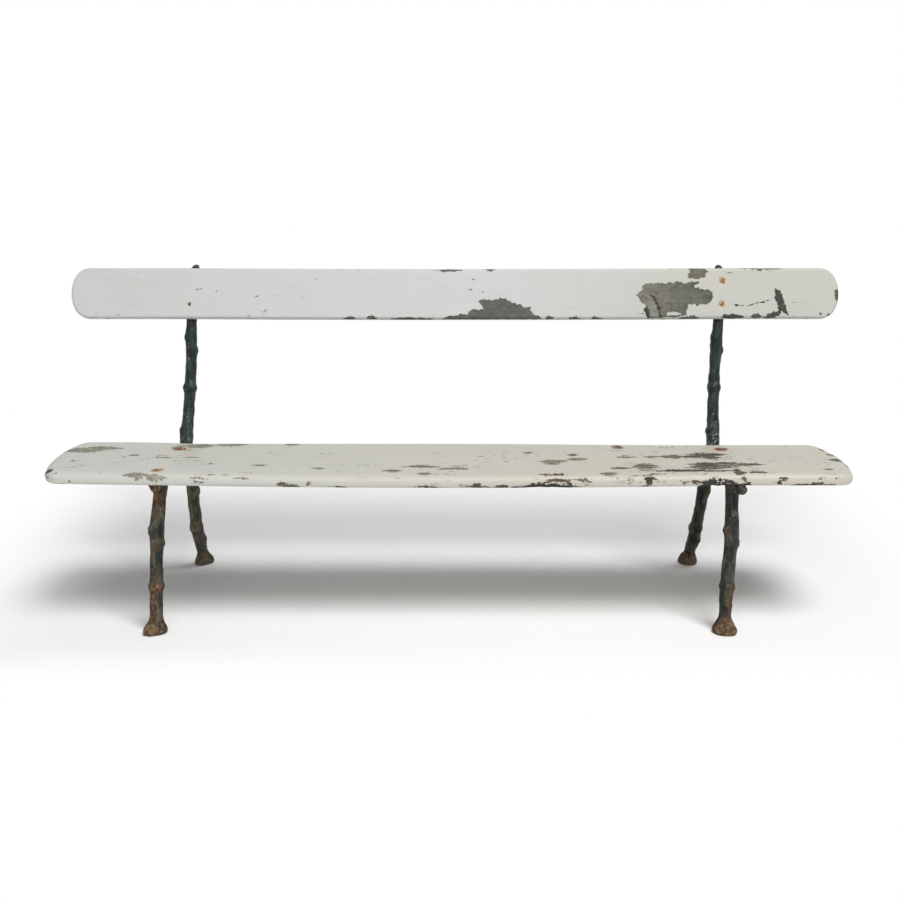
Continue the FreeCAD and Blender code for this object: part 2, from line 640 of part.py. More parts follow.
def washer(label, x, y, z, turn):
    """Flat ring; local Z points to the bolt's head, and the ring lies below its bearing face."""
    body = new_body(label, x, y, z, turn)
    profile = new_sketch(body, f"{label}_profile", "XY_Plane", z="-sizes.washer_thickness")
    circle(profile, "sizes.washer_radius", "outer")
    circle(profile, "sizes.bolt_radius + sizes.hole_clearance", "inner")
    pad = body.newObject("PartDesign::Pad", f"{label}_pad")
    pad.Profile = profile
    pad.setExpression("Length", "sizes.washer_thickness")
    return body


def square_nut(label, x, y, z, turn):
    """Square nut; local Z points to the bolt's head, and the far edges are chamfered."""
    body = new_body(label, x, y, z, turn)
    profile = new_sketch(body, f"{label}_profile", "XY_Plane", z="-sizes.nut_thickness")
    corners = [Vector(-6, -6, 0), Vector(6, -6, 0), Vector(6, 6, 0), Vector(-6, 6, 0)]
    for number, corner in enumerate(corners):
        profile.addGeometry(Part.LineSegment(corner, corners[(number + 1) % 4]))
    for number in range(4):
        profile.addConstraint(Sketcher.Constraint("Coincident", number, 2, (number + 1) % 4, 1))
    profile.addConstraint(Sketcher.Constraint("Horizontal", 0))
    profile.addConstraint(Sketcher.Constraint("Vertical", 1))
    profile.addConstraint(Sketcher.Constraint("Horizontal", 2))
    profile.addConstraint(Sketcher.Constraint("Vertical", 3))
    profile.addConstraint(Sketcher.Constraint("Symmetric", 0, 1, 2, 1, -1, 1))
    bind(profile, "DistanceX", (0, 1, 0, 2), "wide", 12, "sizes.nut_width")
    bind(profile, "DistanceY", (1, 1, 1, 2), "deep", 12, "sizes.nut_width")
    circle(profile, "sizes.bolt_radius + sizes.thread_clearance", "thread")
    pad = body.newObject("PartDesign::Pad", f"{label}_pad")
    pad.Profile = profile
    pad.setExpression("Length", "sizes.nut_thickness")
    far = edges(body, lambda edge: len(edge.Vertexes) == 2
                and max(vertex.Point.z for vertex in edge.Vertexes) < -0.9 * sheet.nut_thickness)
    ease(body, f"{label}_far_edges", "Chamfer", far, "sizes.nut_chamfer")
    return body


# One bolt, washer and nut at each fixing.
fasteners = []
for name, (x, y, z, turn, board, grip) in BOLTS.items():
    fasteners.append(coach_bolt(f"{name}_bolt", x, y, z, turn, board, grip))
    for piece, make, run in (
        ("washer", washer, f"({board} - sizes.head_recess + {grip})"),
        ("nut", square_nut, f"({board} - sizes.head_recess + {grip} + sizes.washer_thickness)"),
    ):
        if turn:
            spot = (x, f"{y} + {run} * {RISE}", f"{z} - {run} * {RUN}")
        else:
            spot = (x, y, f"{z} - {run}")
        fasteners.append(make(f"{name}_{piece}", *spot, turn))

doc.recompute()
for item in doc.Objects:
    if "Invalid" in item.State or "Error" in item.State:
        raise SystemExit(f"{item.Label} did not build: {item.State}")
os.makedirs("parts", exist_ok=True)
for piece in [seat, back, *frames, *fasteners]:
    shape = piece.Shape
    if shape.isNull() or not shape.isValid() or len(shape.Solids) != 1:
        raise SystemExit(f"{piece.Label} is not one sound solid")
    shape.exportStep(f"parts/{piece.Label}.step")
    box = shape.BoundBox
    print(piece.Label, round(shape.Volume / 1000, 2), "cm3", [round(value, 1) for value in
          (box.XMin, box.YMin, box.ZMin, box.XMax, box.YMax, box.ZMax)])
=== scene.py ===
"""Rustic garden bench: branch-form iron end frames, two boards with peeling paint, rusted coach bolts.

Metres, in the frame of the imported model: X along the bench, Y to the rear, Z up, origin on the ground.
"""

import bmesh
import bpy
import numpy as np
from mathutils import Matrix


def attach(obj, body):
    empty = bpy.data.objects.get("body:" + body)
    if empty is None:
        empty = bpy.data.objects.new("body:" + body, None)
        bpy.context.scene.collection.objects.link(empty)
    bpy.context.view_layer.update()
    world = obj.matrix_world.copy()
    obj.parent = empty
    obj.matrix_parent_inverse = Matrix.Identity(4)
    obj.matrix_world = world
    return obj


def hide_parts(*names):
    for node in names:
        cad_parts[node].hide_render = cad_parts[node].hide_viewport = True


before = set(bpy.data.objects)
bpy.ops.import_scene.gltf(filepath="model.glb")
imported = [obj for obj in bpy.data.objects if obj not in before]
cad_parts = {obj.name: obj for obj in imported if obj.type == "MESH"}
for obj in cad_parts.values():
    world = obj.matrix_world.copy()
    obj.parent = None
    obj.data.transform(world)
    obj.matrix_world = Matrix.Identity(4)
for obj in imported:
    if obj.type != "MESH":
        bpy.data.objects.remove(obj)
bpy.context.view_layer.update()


# End frames: two iron castings in the form of knotted branches: front leg, arm, rear leg and upright in one.
# The dark green paint is worn to rust at the feet and on most of the left front leg.
# The boards lie on the flats of the arm and the upright and are bolted to them.

MM = 0.001
# Each frame stands this far in mm from the bench's middle and leans to the viewer's right about a level.
# Its front leg stands a little left of that leaning middle, in mm.
frame_spread = 720
frame_middle = {"left_end_frame": -frame_spread * MM, "right_end_frame": frame_spread * MM}
lean_slope, lean_level = np.tan(np.radians(2.6)), 740 * MM
front_leg_shift = -6
# Underside of the seat, and rear face of the back board: lean, normal, depth and height in mm of its lower
# edge. Within this reach of both the casting stays flat.
seat_under = 386 * MM
back_recline = np.radians(17)
back_outward = np.array([0, -np.cos(back_recline), np.sin(back_recline)])
back_rear_foot = (146.44, 742.92)
flat_reach = 3 * MM
# Skin of the casting: side of its squares, and rounds of easing.
skin_square, skin_easing = 1.8 * MM, 30
# Bearing of the toes, flare of the front leg's top to left and right in mm, and how much painted shade its
# front keeps, which on the right frame also darkens its paint.
toe_bearing = {"left_end_frame": np.radians(40), "right_end_frame": np.radians(140)}
leg_flare = {"left_end_frame": (4.5, 5.5), "right_end_frame": (1.0, 5.5)}
least_painted_shade = {"left_end_frame": 0.0, "right_end_frame": 0.20}
# Relief of the casting in mm: bark, eyes of the knots, swelling round them and its widths, ankles, and where
# the front leg's top flares.
bark_ridge, bark_lump, bark_grit, bark_pit = 0.8, 1.2, 0.25, 0.8
eye_lip, eye_pit = 1.2, 1.8
knot_swell, knot_width, knot_hollow = 2.4, 25, 9
ankle_height, ankle_length, ankle_waist = 42, 14, 1.4
flare_levels, flare_deep, flare_width = (335, 372), -238, 26
# How far a foot is drawn out at toe and heel and at three lesser roots, and in all round, as shares, and
# where that fades out, off the foot's axis and above the ground, in mm.
foot_toe, foot_root, foot_waist = 0.12, 0.05, 0.05
foot_reach, foot_top = (45, 60), (14, 44)
# Knob at the top of the right front leg, drawn up a little, and the web below it, in mm.
knob_chin, knob_rise, knob_reach = (711, -249, 360), 6.0, 12
knob_web, knob_web_thickness, knob_web_reach = (698, -247, 355), 6.0, 10

# Knots in mm: across from the frame's middle, depth, height, bearing from the viewer's right in degrees,
# distance of the eye from the branch's axis, size of the eye.
knots = [
    (-27.6, -236.2, 263.6, 195, 22.0, 7.0),
    (-29.0, -240.2, 233.0, 345, 21.3, 5.5),
    (-34.1, -247.6, 120.8, 270, 22.3, 6.0),
    (-23.3, 184.2, 136.8, 180, 21.9, 6.0),
    (-24.3, 209.8, 94.1, 350, 21.3, 5.5),
    (-19.4, 139.5, 259.6, 0, 21.0, 6.5),
    (-13.4, 87.1, 445.9, 185, 20.5, 6.5),
    (-8.3, 130.3, 557.5, 265, 20.9, 5.5),
    (-3.7, 148.9, 658.9, 355, 19.3, 5.5),
    (-2.1, 151.9, 692.7, 180, 17.6, 6.0),
]
# Soles in mm: across from the frame's middle, depth.
soles = [(-39.6, -263), (-26.6, 263)]


def lattice_noise(points, seed):
    """Smooth noise from -1 to 1: a random value at each corner of a lattice, blended by a quintic curve."""
    cell = np.floor(points).astype(np.int64)
    part = points - cell
    part = part**3 * (part * (part * 6 - 15) + 10)
    total = np.zeros(len(points))
    for corner in np.ndindex(2, 2, 2):
        key = (cell + corner) @ np.array([73856093, 19349663, 83492791]) + seed * 1013
        key = ((key ^ (key >> 13)) * 1274126177) & 0x7FFFFFFF
        value = ((key ^ (key >> 15)) & 0xFFFF) / 32767.5 - 1
        total += value * np.prod(np.where(np.array(corner) == 1, part, 1 - part), axis=1)
    return total


def ramp(value, low, high):
    """Smooth step: 0 up to low, 1 from high on, a cubic between."""
    share = np.clip((value - low) / (high - low), 0, 1)
    return share * share * (3 - 2 * share)


def bell(value, middle, width):
    """Bell curve: 1 at the middle, falling off over the width."""
    return np.exp(-(((value - middle) / width) ** 2))


def casting_skin(name):
    """Even skin of small squares round a merged copy of the casting's solid, its sharp seams eased."""
    solid = bmesh.new()
    solid.from_mesh(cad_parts[name].data)
    bmesh.ops.remove_doubles(solid, verts=solid.verts, dist=1e-6)
    copy = bpy.data.meshes.new(f"{name}_copy")
    solid.to_mesh(copy)
    solid.free()
    holder = bpy.data.objects.new(f"{name}_copy", copy)
    bpy.context.scene.collection.objects.link(holder)
    squares = holder.modifiers.new("squares", "REMESH")
    squares.mode = "VOXEL"
    squares.voxel_size = skin_square
    squares.use_smooth_shade = True
    easing = holder.modifiers.new("easing", "SMOOTH")
    easing.factor = 0.5
    easing.iterations = skin_easing
    depsgraph = bpy.context.evaluated_depsgraph_get()
    mesh = bpy.data.meshes.new_from_object(holder.evaluated_get(depsgraph))
    bpy.data.objects.remove(holder)
    bpy.data.meshes.remove(copy)
    return mesh


def read_points(mesh):
    """Places and normals of a mesh's vertices, one row each."""
    places = np.empty(len(mesh.vertices) * 3, np.float32)
    mesh.vertices.foreach_get("co", places)
    normals = np.empty(len(mesh.vertices) * 3, np.float32)
    mesh.vertex_normals.foreach_get("vector", normals)
    return places.reshape(-1, 3).astype(float), normals.reshape(-1, 3).astype(float)


def stretch_feet(places, middle, bearing):
    """Round feet drawn out into roots: each point moves off the foot's axis by a share of its distance.

    The share follows the cosine of twice the angle from the toe's bearing, so a foot gets a toe and a heel,
    and that of three times the angle, a weaker one. It fades out above the ankle.
    """
    moved = places.copy()
    height = places[:, 2] / MM
    for across, deep in soles:
        off = places[:, :2] - np.array([middle + across * MM, deep * MM])
        angle = np.arctan2(off[:, 1], off[:, 0])
        away = np.hypot(off[:, 0], off[:, 1]) / MM
        near = (1 - ramp(away, *foot_reach)) * (1 - ramp(height, *foot_top))
        share = foot_toe * np.cos(2 * (angle - bearing)) + foot_root * np.cos(3 * angle + deep) - foot_waist
        moved[:, :2] += off * (near * share)[:, None]
    return moved


def bark_relief(places, normals, middle, flare):
    """Height of the bark over the skin, in metres: ridges along the branch, lumps, pits and knots' eyes.

    Ridges are folded noise drawn out along Z. A knot's eye is a pit with a raised lip, both bell curves of
    the distance from the eye's centre, and a wider one less a narrow one swells the branch round it. The
    front leg flares where it meets the arm, a web runs out to the knob there, and the ankles are drawn in.
    """
    ridges = 0.5 - np.abs(lattice_noise(places * [150, 150, 17], 3))
    lumps = lattice_noise(places * 33, 5) + 0.5 * lattice_noise(places * 70, 6)
    grit = lattice_noise(places * 260, 7)
    pits = ramp(lattice_noise(places * 95, 11), 0.42, 0.8)
    relief = bark_ridge * ridges + bark_lump * lumps + bark_grit * grit - bark_pit * pits
    for across, deep, high, bearing, reach, size in knots:
        toward = np.array([np.cos(np.radians(bearing)), np.sin(np.radians(bearing)), 0])
        eye = np.array([middle, 0, 0]) + np.array([across, deep, high]) * MM + toward * reach * MM
        away = np.linalg.norm(places - eye, axis=1) / MM
        facing = ramp(normals @ toward, 0.05, 0.5)
        relief += facing * (eye_lip * bell(away, size, 0.32 * size) - eye_pit * bell(away, 0, 0.55 * size))
        relief += facing * knot_swell * (bell(away, 0, knot_width) - bell(away, 0, knot_hollow))
    height = places[:, 2] / MM
    to_right = ramp(normals[:, 0], -0.5, 0.5)
    spread = flare[0] * (1 - to_right) + flare[1] * to_right
    relief += spread * ramp(height, *flare_levels) * bell(places[:, 1] / MM, flare_deep, flare_width)
    relief -= ankle_waist * bell(height, ankle_height, ankle_length)
    from_web = np.linalg.norm(places / MM - knob_web, axis=1)
    relief += knob_web_thickness * bell(from_web, 0, knob_web_reach) * ramp(normals[:, 0], 0.0, 0.6)
    return relief * MM


def contact_share(places, normals):
    """1 on the sole, the seat flat and the back flat, where the casting meets something, 0 elsewhere."""
    board_plane = np.array([0, *back_rear_foot]) @ back_outward * MM
    from_board = np.abs(places @ back_outward - board_plane)
    seat = (np.abs(places[:, 2] - seat_under) < flat_reach) * ramp(normals[:, 2], 0.3, 0.8)
    back = (from_board < flat_reach) * ramp(normals @ back_outward, 0.3, 0.8)
    sole = ramp(-places[:, 2], -6 * MM, -1 * MM)
    return np.maximum(np.maximum(seat, back), sole)


def rust_share(places, name):
    """How far the paint is gone: high at the feet and on the left front leg, low on the glossy uprights."""
    height = places[:, 2] / MM
    leaning = frame_middle[name] + lean_slope * (places[:, 2] - lean_level)
    across = (places[:, 0] - leaning) / MM - front_leg_shift
    front = ramp(-places[:, 1] / MM, 50, 120)
    upright = ramp(height, 372, 430)
    if name == "left_end_frame":
        worn_top = 0.16 * ramp(height, 285, 330)
        front_leg = 0.60 + worn_top - 0.36 * bell(height, 262, 18) - 0.24 * bell(height, 195, 26)
        rear_leg = 0.30
        at_foot = 0.42
    else:
        worn_side = 0.42 * ramp(across, -2, 14) * ramp(-height, -210, -120)
        front_leg = 0.24 + worn_side + 0.05 * bell(height, 345, 35)
        rear_leg = 0.18
        at_foot = 0.80
    legs = front * front_leg + (1 - front) * rear_leg
    rust = legs * (1 - upright) - 0.12 * upright
    rust += at_foot * ramp(-height, -62, -12)
    rust += 0.20 * bell(height, 396, 14)
    return rust


def fleck_share(places, name):
    """How thick the pale flecks lie: most on the upright just above the seat, some at the feet."""
    height = places[:, 2] / MM
    most = 0.95 if name == "right_end_frame" else 0.45
    return most * bell(height, 420, 50) + 0.45 * bell(height, 14, 22) + 0.3 * bell(height, 121, 16)


def dust_share(places, name):
    """How thick dry dust and lichen lie: on the left rear leg and, on both frames, on the rear feet."""
    height = places[:, 2] / MM
    rear = ramp(places[:, 1] / MM, 40, 90)
    on_leg = 0.30 if name == "left_end_frame" else 0.0
    return rear * ramp(-height, -390, -360) * np.maximum(on_leg, 0.35 * ramp(-height, -48, -16))


def painted_shade_share(normals, least):
    """Painted shade as a share: 1 on the sides of the branches, less behind, the least in front."""
    behind = 0.7 * ramp(normals[:, 1], 0.15, 0.9)
    return 1 - behind - (1 - least) * ramp(0.35 * normals[:, 2] - normals[:, 1], -0.1, 0.85)


def write_share(mesh, name, values):
    """Per-vertex number that a material reads by name."""
    mesh.attributes.new(name, "FLOAT", "POINT").data.foreach_set("value", values.astype(np.float32))


def new_material(name):
    """Material with its node tree and its main shader."""
    made = bpy.data.materials.new(name)
    made.use_nodes = True
    return made, made.node_tree, made.node_tree.nodes["Principled BSDF"]


def node(tree, kind, settings=None, inputs=None):
    """Node with its settings made and its inputs set, or linked where another node's socket is given."""
    made = tree.nodes.new(kind)
    for name, value in (settings or {}).items():
        setattr(made, name, value)
    for name, value in (inputs or {}).items():
        if isinstance(value, bpy.types.NodeSocket):
            tree.links.new(value, made.inputs[name])
        else:
            made.inputs[name].default_value = value
    return made


def maths(tree, kind, first, second=0.0):
    """Operation on two numbers or sockets, by its name."""
    return node(tree, "ShaderNodeMath", {"operation": kind}, {0: first, 1: second}).outputs[0]


def plus(tree, first, second):
    """Sum of two numbers or sockets."""
    return maths(tree, "ADD", first, second)


def times(tree, first, second):
    """Product of two numbers or sockets."""
    return maths(tree, "MULTIPLY", first, second)


def swing(tree, noise, amount):
    """Noise moved to swing about zero, times an amount."""
    return times(tree, maths(tree, "SUBTRACT", noise, 0.5), amount)


def band(tree, value, low, high):
    """Smooth step of a socket from 0 at low to 1 at high."""
    limits = {"Value": value, "From Min": low, "From Max": high}
    return node(tree, "ShaderNodeMapRange", {"interpolation_type": "SMOOTHSTEP"}, limits).outputs[0]


def tint(tree, share, first, second):
    """Colour between two colours or sockets."""
    mixed = node(tree, "ShaderNodeMix", {"data_type": "RGBA"}, {"Factor": share})
    for slot, colour in ((6, first), (7, second)):
        if isinstance(colour, bpy.types.NodeSocket):
            tree.links.new(colour, mixed.inputs[slot])
        else:
            mixed.inputs[slot].default_value = (*colour, 1)
    return mixed.outputs[2]


def mottle(tree, scale, detail=4.0, stretch=(1, 1, 1), shift=(0, 0, 0), rough=0.5):
    """Noise on the object's own coordinates, drawn out along an axis by its stretch."""
    where = node(tree, "ShaderNodeTexCoord").outputs["Object"]
    scaled = tuple(scale / part for part in stretch)
    placed = node(tree, "ShaderNodeMapping", None, {"Vector": where, "Scale": scaled, "Location": shift})
    settings = {"Vector": placed.outputs[0], "Scale": 1.0, "Detail": detail, "Roughness": rough}
    return node(tree, "ShaderNodeTexNoise", None, settings).outputs["Fac"]


def share_of(tree, name):
    """Per-vertex number of the piece."""
    return node(tree, "ShaderNodeAttribute", {"attribute_name": name}).outputs["Fac"]


def relief_of(tree, shader, height, depth, strength):
    """Bump from a height socket, its depth in metres."""
    bump = node(tree, "ShaderNodeBump", None, {"Strength": strength, "Distance": depth, "Height": height})
    tree.links.new(bump.outputs[0], shader.inputs["Normal"])


def rusted_green_iron():
    """Old green paint on cast iron: glossy where sound, olive where dusty, brown to ochre where rusted, with
    painted shade on the sides and rear of the branches.
    """
    made, tree, shader = new_material("rusted_green_iron")
    patches = mottle(tree, 46, 5, (1, 1, 3.6), rough=0.58)
    grain = mottle(tree, 120, 5, (1, 1, 2.6), (3, 1, 7), 0.6)
    state = plus(tree, share_of(tree, "rust"), swing(tree, patches, 2.6))
    state = plus(tree, state, swing(tree, grain, 1.1))

    tone = band(tree, mottle(tree, 70, 5, (1, 1, 3.2), (6, 6, 1), 0.6), 0.36, 0.66)
    teal = tint(tree, tone, (0.0070, 0.0130, 0.0120), (0.033, 0.055, 0.048))
    moss = tint(tree, tone, (0.0085, 0.0105, 0.0070), (0.046, 0.051, 0.037))
    paint = tint(tree, band(tree, share_of(tree, "rust"), -0.1, 0.25), teal, moss)
    olive = tint(tree, tone, (0.026, 0.027, 0.018), (0.118, 0.109, 0.076))
    crust = band(tree, mottle(tree, 135, 5, (1, 1, 1.5), (2, 8, 3), 0.66), 0.36, 0.66)
    brown = tint(tree, crust, (0.046, 0.026, 0.017), (0.140, 0.076, 0.044))
    ochre = tint(tree, crust, (0.080, 0.043, 0.022), (0.250, 0.165, 0.084))
    colour = tint(tree, band(tree, state, 0.22, 0.42), paint, olive)
    colour = tint(tree, band(tree, state, 0.50, 0.72), colour, brown)
    colour = tint(tree, band(tree, state, 0.82, 1.05), colour, ochre)

    dusty = times(tree, share_of(tree, "dust"), plus(tree, tone, 0.5))
    colour = tint(tree, dusty, colour, (0.170, 0.155, 0.100))

    spots = mottle(tree, 170, 4, (1, 1, 1.3), (9, 4, 2), 0.66)
    flecks = plus(tree, spots, times(tree, share_of(tree, "fleck"), 0.13))
    flecks = band(tree, flecks, 0.64, 0.69)
    colour = tint(tree, times(tree, flecks, 0.7), colour, (0.30, 0.30, 0.25))
    # Painted shade: the sides and rear of the branches darkened towards near black.
    colour = tint(tree, times(tree, share_of(tree, "shade"), 0.65), colour, (0.005, 0.007, 0.005))
    tree.links.new(colour, shader.inputs["Base Color"])

    shader.inputs["Specular IOR Level"].default_value = 0.18
    rough = plus(tree, times(tree, band(tree, state, 0.15, 0.55), 0.45), 0.26)
    tree.links.new(plus(tree, rough, times(tree, grain, 0.12)), shader.inputs["Roughness"])
    scale = times(tree, band(tree, state, 0.45, 0.70), plus(tree, grain, 0.5))
    height = plus(tree, scale, times(tree, mottle(tree, 340, 4, shift=(2, 2, 2)), 0.7))
    height = plus(tree, height, times(tree, flecks, 0.3))
    relief_of(tree, shader, height, 0.9 * MM, 0.7)
    return made


def add_piece(name, mesh, material, slot, *nodes):
    """Shown piece at the origin that stands for CAD nodes and rides on the bench."""
    mesh.materials.clear()
    mesh.materials.append(material)
    piece = bpy.data.objects.new(name, mesh)
    bpy.context.scene.collection.objects.link(piece)
    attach(piece, "root")
    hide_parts(*nodes)


iron = rusted_green_iron()
for name, middle in frame_middle.items():
    skin = casting_skin(name)
    places, normals = read_points(skin)
    free = 1 - contact_share(places, normals)
    relief = bark_relief(places, normals, middle, leg_flare[name]) * free
    moved = stretch_feet(places, middle, toe_bearing[name]) + normals * relief[:, None]
    from_chin = np.linalg.norm(places / MM - knob_chin, axis=1)
    moved[:, 2] += knob_rise * MM * bell(from_chin, 0, knob_reach)
    moved[:, 2] = np.maximum(moved[:, 2], 0)
    skin.vertices.foreach_set("co", moved.astype(np.float32).ravel())
    write_share(skin, "rust", rust_share(places, name))
    write_share(skin, "fleck", fleck_share(places, name))
    write_share(skin, "dust", dust_share(places, name))
    # Painted shade for the sides and rear of the branches, which the material reads as shade.
    write_share(skin, "shade", painted_shade_share(normals, least_painted_shade[name]))
    skin.update()
    add_piece(f"{name}_casting", skin, iron, "cast_iron", name)


# Seat board: one thick plank, a little over two metres long, with bowed ends and a rounded front edge.
# Painted pale grey many times. The paint has come off in flakes along the grain, mostly to the right.
# Four bolts hold it down on the arms, and each has rusted into the paint round it.

seat_length, seat_depth, seat_thickness = 2036, 318, 32
seat_end_radius, seat_corner_radius = 490, 42
# Rounds of the edges: run and drop on top, the crisp stretch of the rear, below. Where that stretch starts
# and ends along the board.
seat_top_round, seat_rear_round, seat_under_round = (26, 16), 6, 9
seat_crisp_start, seat_crisp_end = (-1000, -800), (0, 650)
seat_middle_x, seat_front_y, seat_top = -16.1, -264.0, 418.0
# Squares of a board's grid: their length in mm, rows from the axis to the edge, points round an end's corner
# and over a rounded edge.
seat_spacing, seat_rows = 6.0, 44
corner_points, edge_points = 18, 9
# Sag of the front edge at mid-span, and lift of the left end at its front and, on top of that, at its rear,
# over a length past the frame, all in mm.
seat_sag, seat_lift, seat_rear_lift, seat_lift_length = 6.5, 4.0, 5.0, 300
seat_bolts = {
    "left_front_seat_bolt": (-742.1, -228.0),
    "left_rear_seat_bolt": (-736.1, -10.0),
    "right_front_seat_bolt": (697.9, -228.0),
    "right_rear_seat_bolt": (703.9, -10.0),
}
# Strength of the rust round each, how far it has run along X and Y, and where it fades and ends, in mm.
rust_at_seat_bolts = (1.0, 1.3, 0.2, 2.1)
seat_rust_run, seat_rust_full, seat_rust_end = (4, -4), 9, 26
bolt_head_radius, bolt_recess, bolt_recess_slope = 10, 1.5, 1.5
# Chips of the front face: their depth, and how far noise changes it upwards and inwards.
chip_depth, chip_rough_up, chip_rough_in = 1.6, 1.6, 1.4
# Two tones of the paint, and where along the bench in metres it turns from one to the other.
seat_cool, seat_warm, seat_turn = (0.545, 0.545, 0.505), (0.530, 0.505, 0.432), (-0.95, 0.4)
# Ragged edges: waves per metre, how far they are drawn out along the grain, and their swing in mm. Then the
# swing of the crumbs in mm and the strength of the wood's grain.
seat_ragged, seat_crumb, seat_grain = (60, 5.0, 66), 32, 0.32

# Wood seen under the paint.
bare_woods = {
    "pale": (0.390, 0.375, 0.300),
    "dun": (0.300, 0.265, 0.200),
    "russet": (0.092, 0.062, 0.046),
    "umber": (0.215, 0.178, 0.132),
    "dark": (0.120, 0.103, 0.078),
    "red": (0.165, 0.092, 0.064),
    "black": (0.054, 0.050, 0.040),
    "slate": (0.120, 0.124, 0.107),
    "silver": (0.262, 0.260, 0.232),
    "ash": (0.205, 0.195, 0.157),
    "bark": (0.172, 0.160, 0.122),
    "soot": (0.068, 0.069, 0.058),
    "cream": (0.720, 0.670, 0.510),
}
# Clusters of small chips on the front face in mm: along, behind the front edge, half length, half height.
seat_specks = [
    (-524, -8, 26, 4),
    (-478, -24, 12, 6),
    (-428, -19, 20, 7),
    (-394, -25, 24, 6),
    (-354, -16, 12, 7),
    (20, -24, 24, 8),
]
# Bare patches of the seat by the wood seen, in mm: from and to along the board, from and to behind the front
# edge. Below 0 is the front face, 32 mm high, and then the underside.
seat_marks = {
    "pale": [
        (-1036, -922, 188, 236), (-982, -884, 220, 258), (-726, -648, 264, 316), (-648, -564, 282, 322),
        (-464, -418, 290, 324), (-776, -728, 150, 166), (-704, -658, 158, 172), (-818, -752, -12, 10),
        (-790, -770, -20, -4), (-768, -706, -22, 2), (-752, -728, -27, -10),
    ],
    "dun": [
        (-862, -846, 146, 160), (-846, -820, 168, 184), (-758, -722, 240, 284), (-636, -606, 92, 108),
        (-512, -474, 84, 98), (-648, -612, -12, -3), (-360, -328, 58, 72), (-184, -128, 34, 56),
        (-138, -30, 74, 98), (-48, 36, 54, 76), (-92, -60, 14, 34), (176, 206, 208, 232),
        (288, 342, 142, 170), (222, 288, 106, 154), (418, 472, 156, 188), (484, 528, 164, 186),
        (352, 404, 10, 32),
    ],
    "cream": [
        (-730, -688, 226, 262), (428, 460, 86, 126),
    ],
    "dark": [
        (-1018, -990, 10, 36), (40, 66, -40, -18), (96, 132, -36, -22), (578, 652, 156, 190),
        (606, 704, 174, 212), (636, 690, 146, 190), (588, 662, 72, 118), (596, 724, 60, 98),
        (648, 756, 88, 112), (690, 780, 76, 100), (538, 626, 20, 48), (680, 720, 2, 30),
        (714, 776, 10, 26), (990, 1016, 42, 92), (964, 980, -24, -3), (960, 996, 127, 145),
        (966, 984, 237, 253), (922, 950, 304, 332),
    ],
    "bark": [
        (-438, -414, -30, -17), (-424, -386, -39, -26),
    ],
    "umber": [
        (-368, -352, -28, -18), (294, 322, 188, 208), (292, 338, -11, -3), (420, 450, 252, 292),
        (534, 596, 156, 194), (388, 440, 52, 76), (440, 512, 46, 108), (574, 676, 44, 70),
        (698, 714, -15, -8), (860, 890, -15, -9), (912, 952, -14, -8), (918, 940, 35, 51),
        (982, 995, 77, 91), (968, 996, 177, 195),
    ],
    "black": [
        (-320, -270, -37, -26), (-120, -36, -38, -24), (130, 300, -46, -17), (600, 628, -46, -17),
        (616, 646, -52, -12), (645, 655, -21, -13), (640, 706, -52, -17), (700, 730, -42, -23),
        (790, 801, -28, -19), (823, 900, -40, -26), (886, 936, -38, -30),
    ],
    "russet": [
        (206, 276, 6, 26), (490, 650, 28, 46), (600, 690, 18, 40), (464, 492, -9, -3),
        (468, 483, -20, -6),
    ],
    "red": [
        (212, 278, -14, -6), (508, 518, -19, -12), (578, 598, -23, -14), (794, 816, -15, -7),
    ],
    "soot": [
        (54, 88, -42, -25),
    ],
}


def plank_outline(length, width, end_radius, corner_radius, spacing):
    """Points round a plank's plan and their outward normals, in mm.

    Half an end is an arc of the bow about a centre on the axis, then the corner's arc inside it. Four such
    halves, mirrored, are joined by the two straight sides.
    """
    inner = end_radius - corner_radius
    corner_y = width / 2 - corner_radius
    corner_x = np.sqrt(inner**2 - corner_y**2)
    turn = np.arctan2(corner_y, corner_x)
    bow = np.linspace(0, turn, max(3, round(end_radius * turn / spacing)))
    corner = np.linspace(turn, np.pi / 2, corner_points)[1:]
    angle = np.concatenate([bow, corner])
    in_bow = angle <= turn
    radius = np.where(in_bow, end_radius, corner_radius)
    shift = length / 2 - end_radius
    centre_x = shift + np.where(in_bow, 0, corner_x)
    centre_y = np.where(in_bow, 0, corner_y)
    end = np.stack([centre_x + radius * np.cos(angle), centre_y + radius * np.sin(angle)], 1)
    steps = round(2 * (shift + corner_x) / spacing)
    side_x = np.linspace(shift + corner_x, -shift - corner_x, steps)[1:-1]
    side = np.stack([side_x, np.full(len(side_x), width / 2)], 1)
    end_normal = np.stack([np.cos(angle), np.sin(angle)], 1)
    side_normal = np.tile([0.0, 1.0], (len(side), 1))
    flip = np.array([-1.0, 1.0])
    half = np.concatenate([end, side, (end * flip)[::-1]])
    half_normal = np.concatenate([end_normal, side_normal, (end_normal * flip)[::-1]])
    mirror = np.array([1.0, -1.0])
    points = np.concatenate([half, (half * mirror)[::-1][1:-1]])
    normals = np.concatenate([half_normal, (half_normal * mirror)[::-1][1:-1]])
    return points, normals


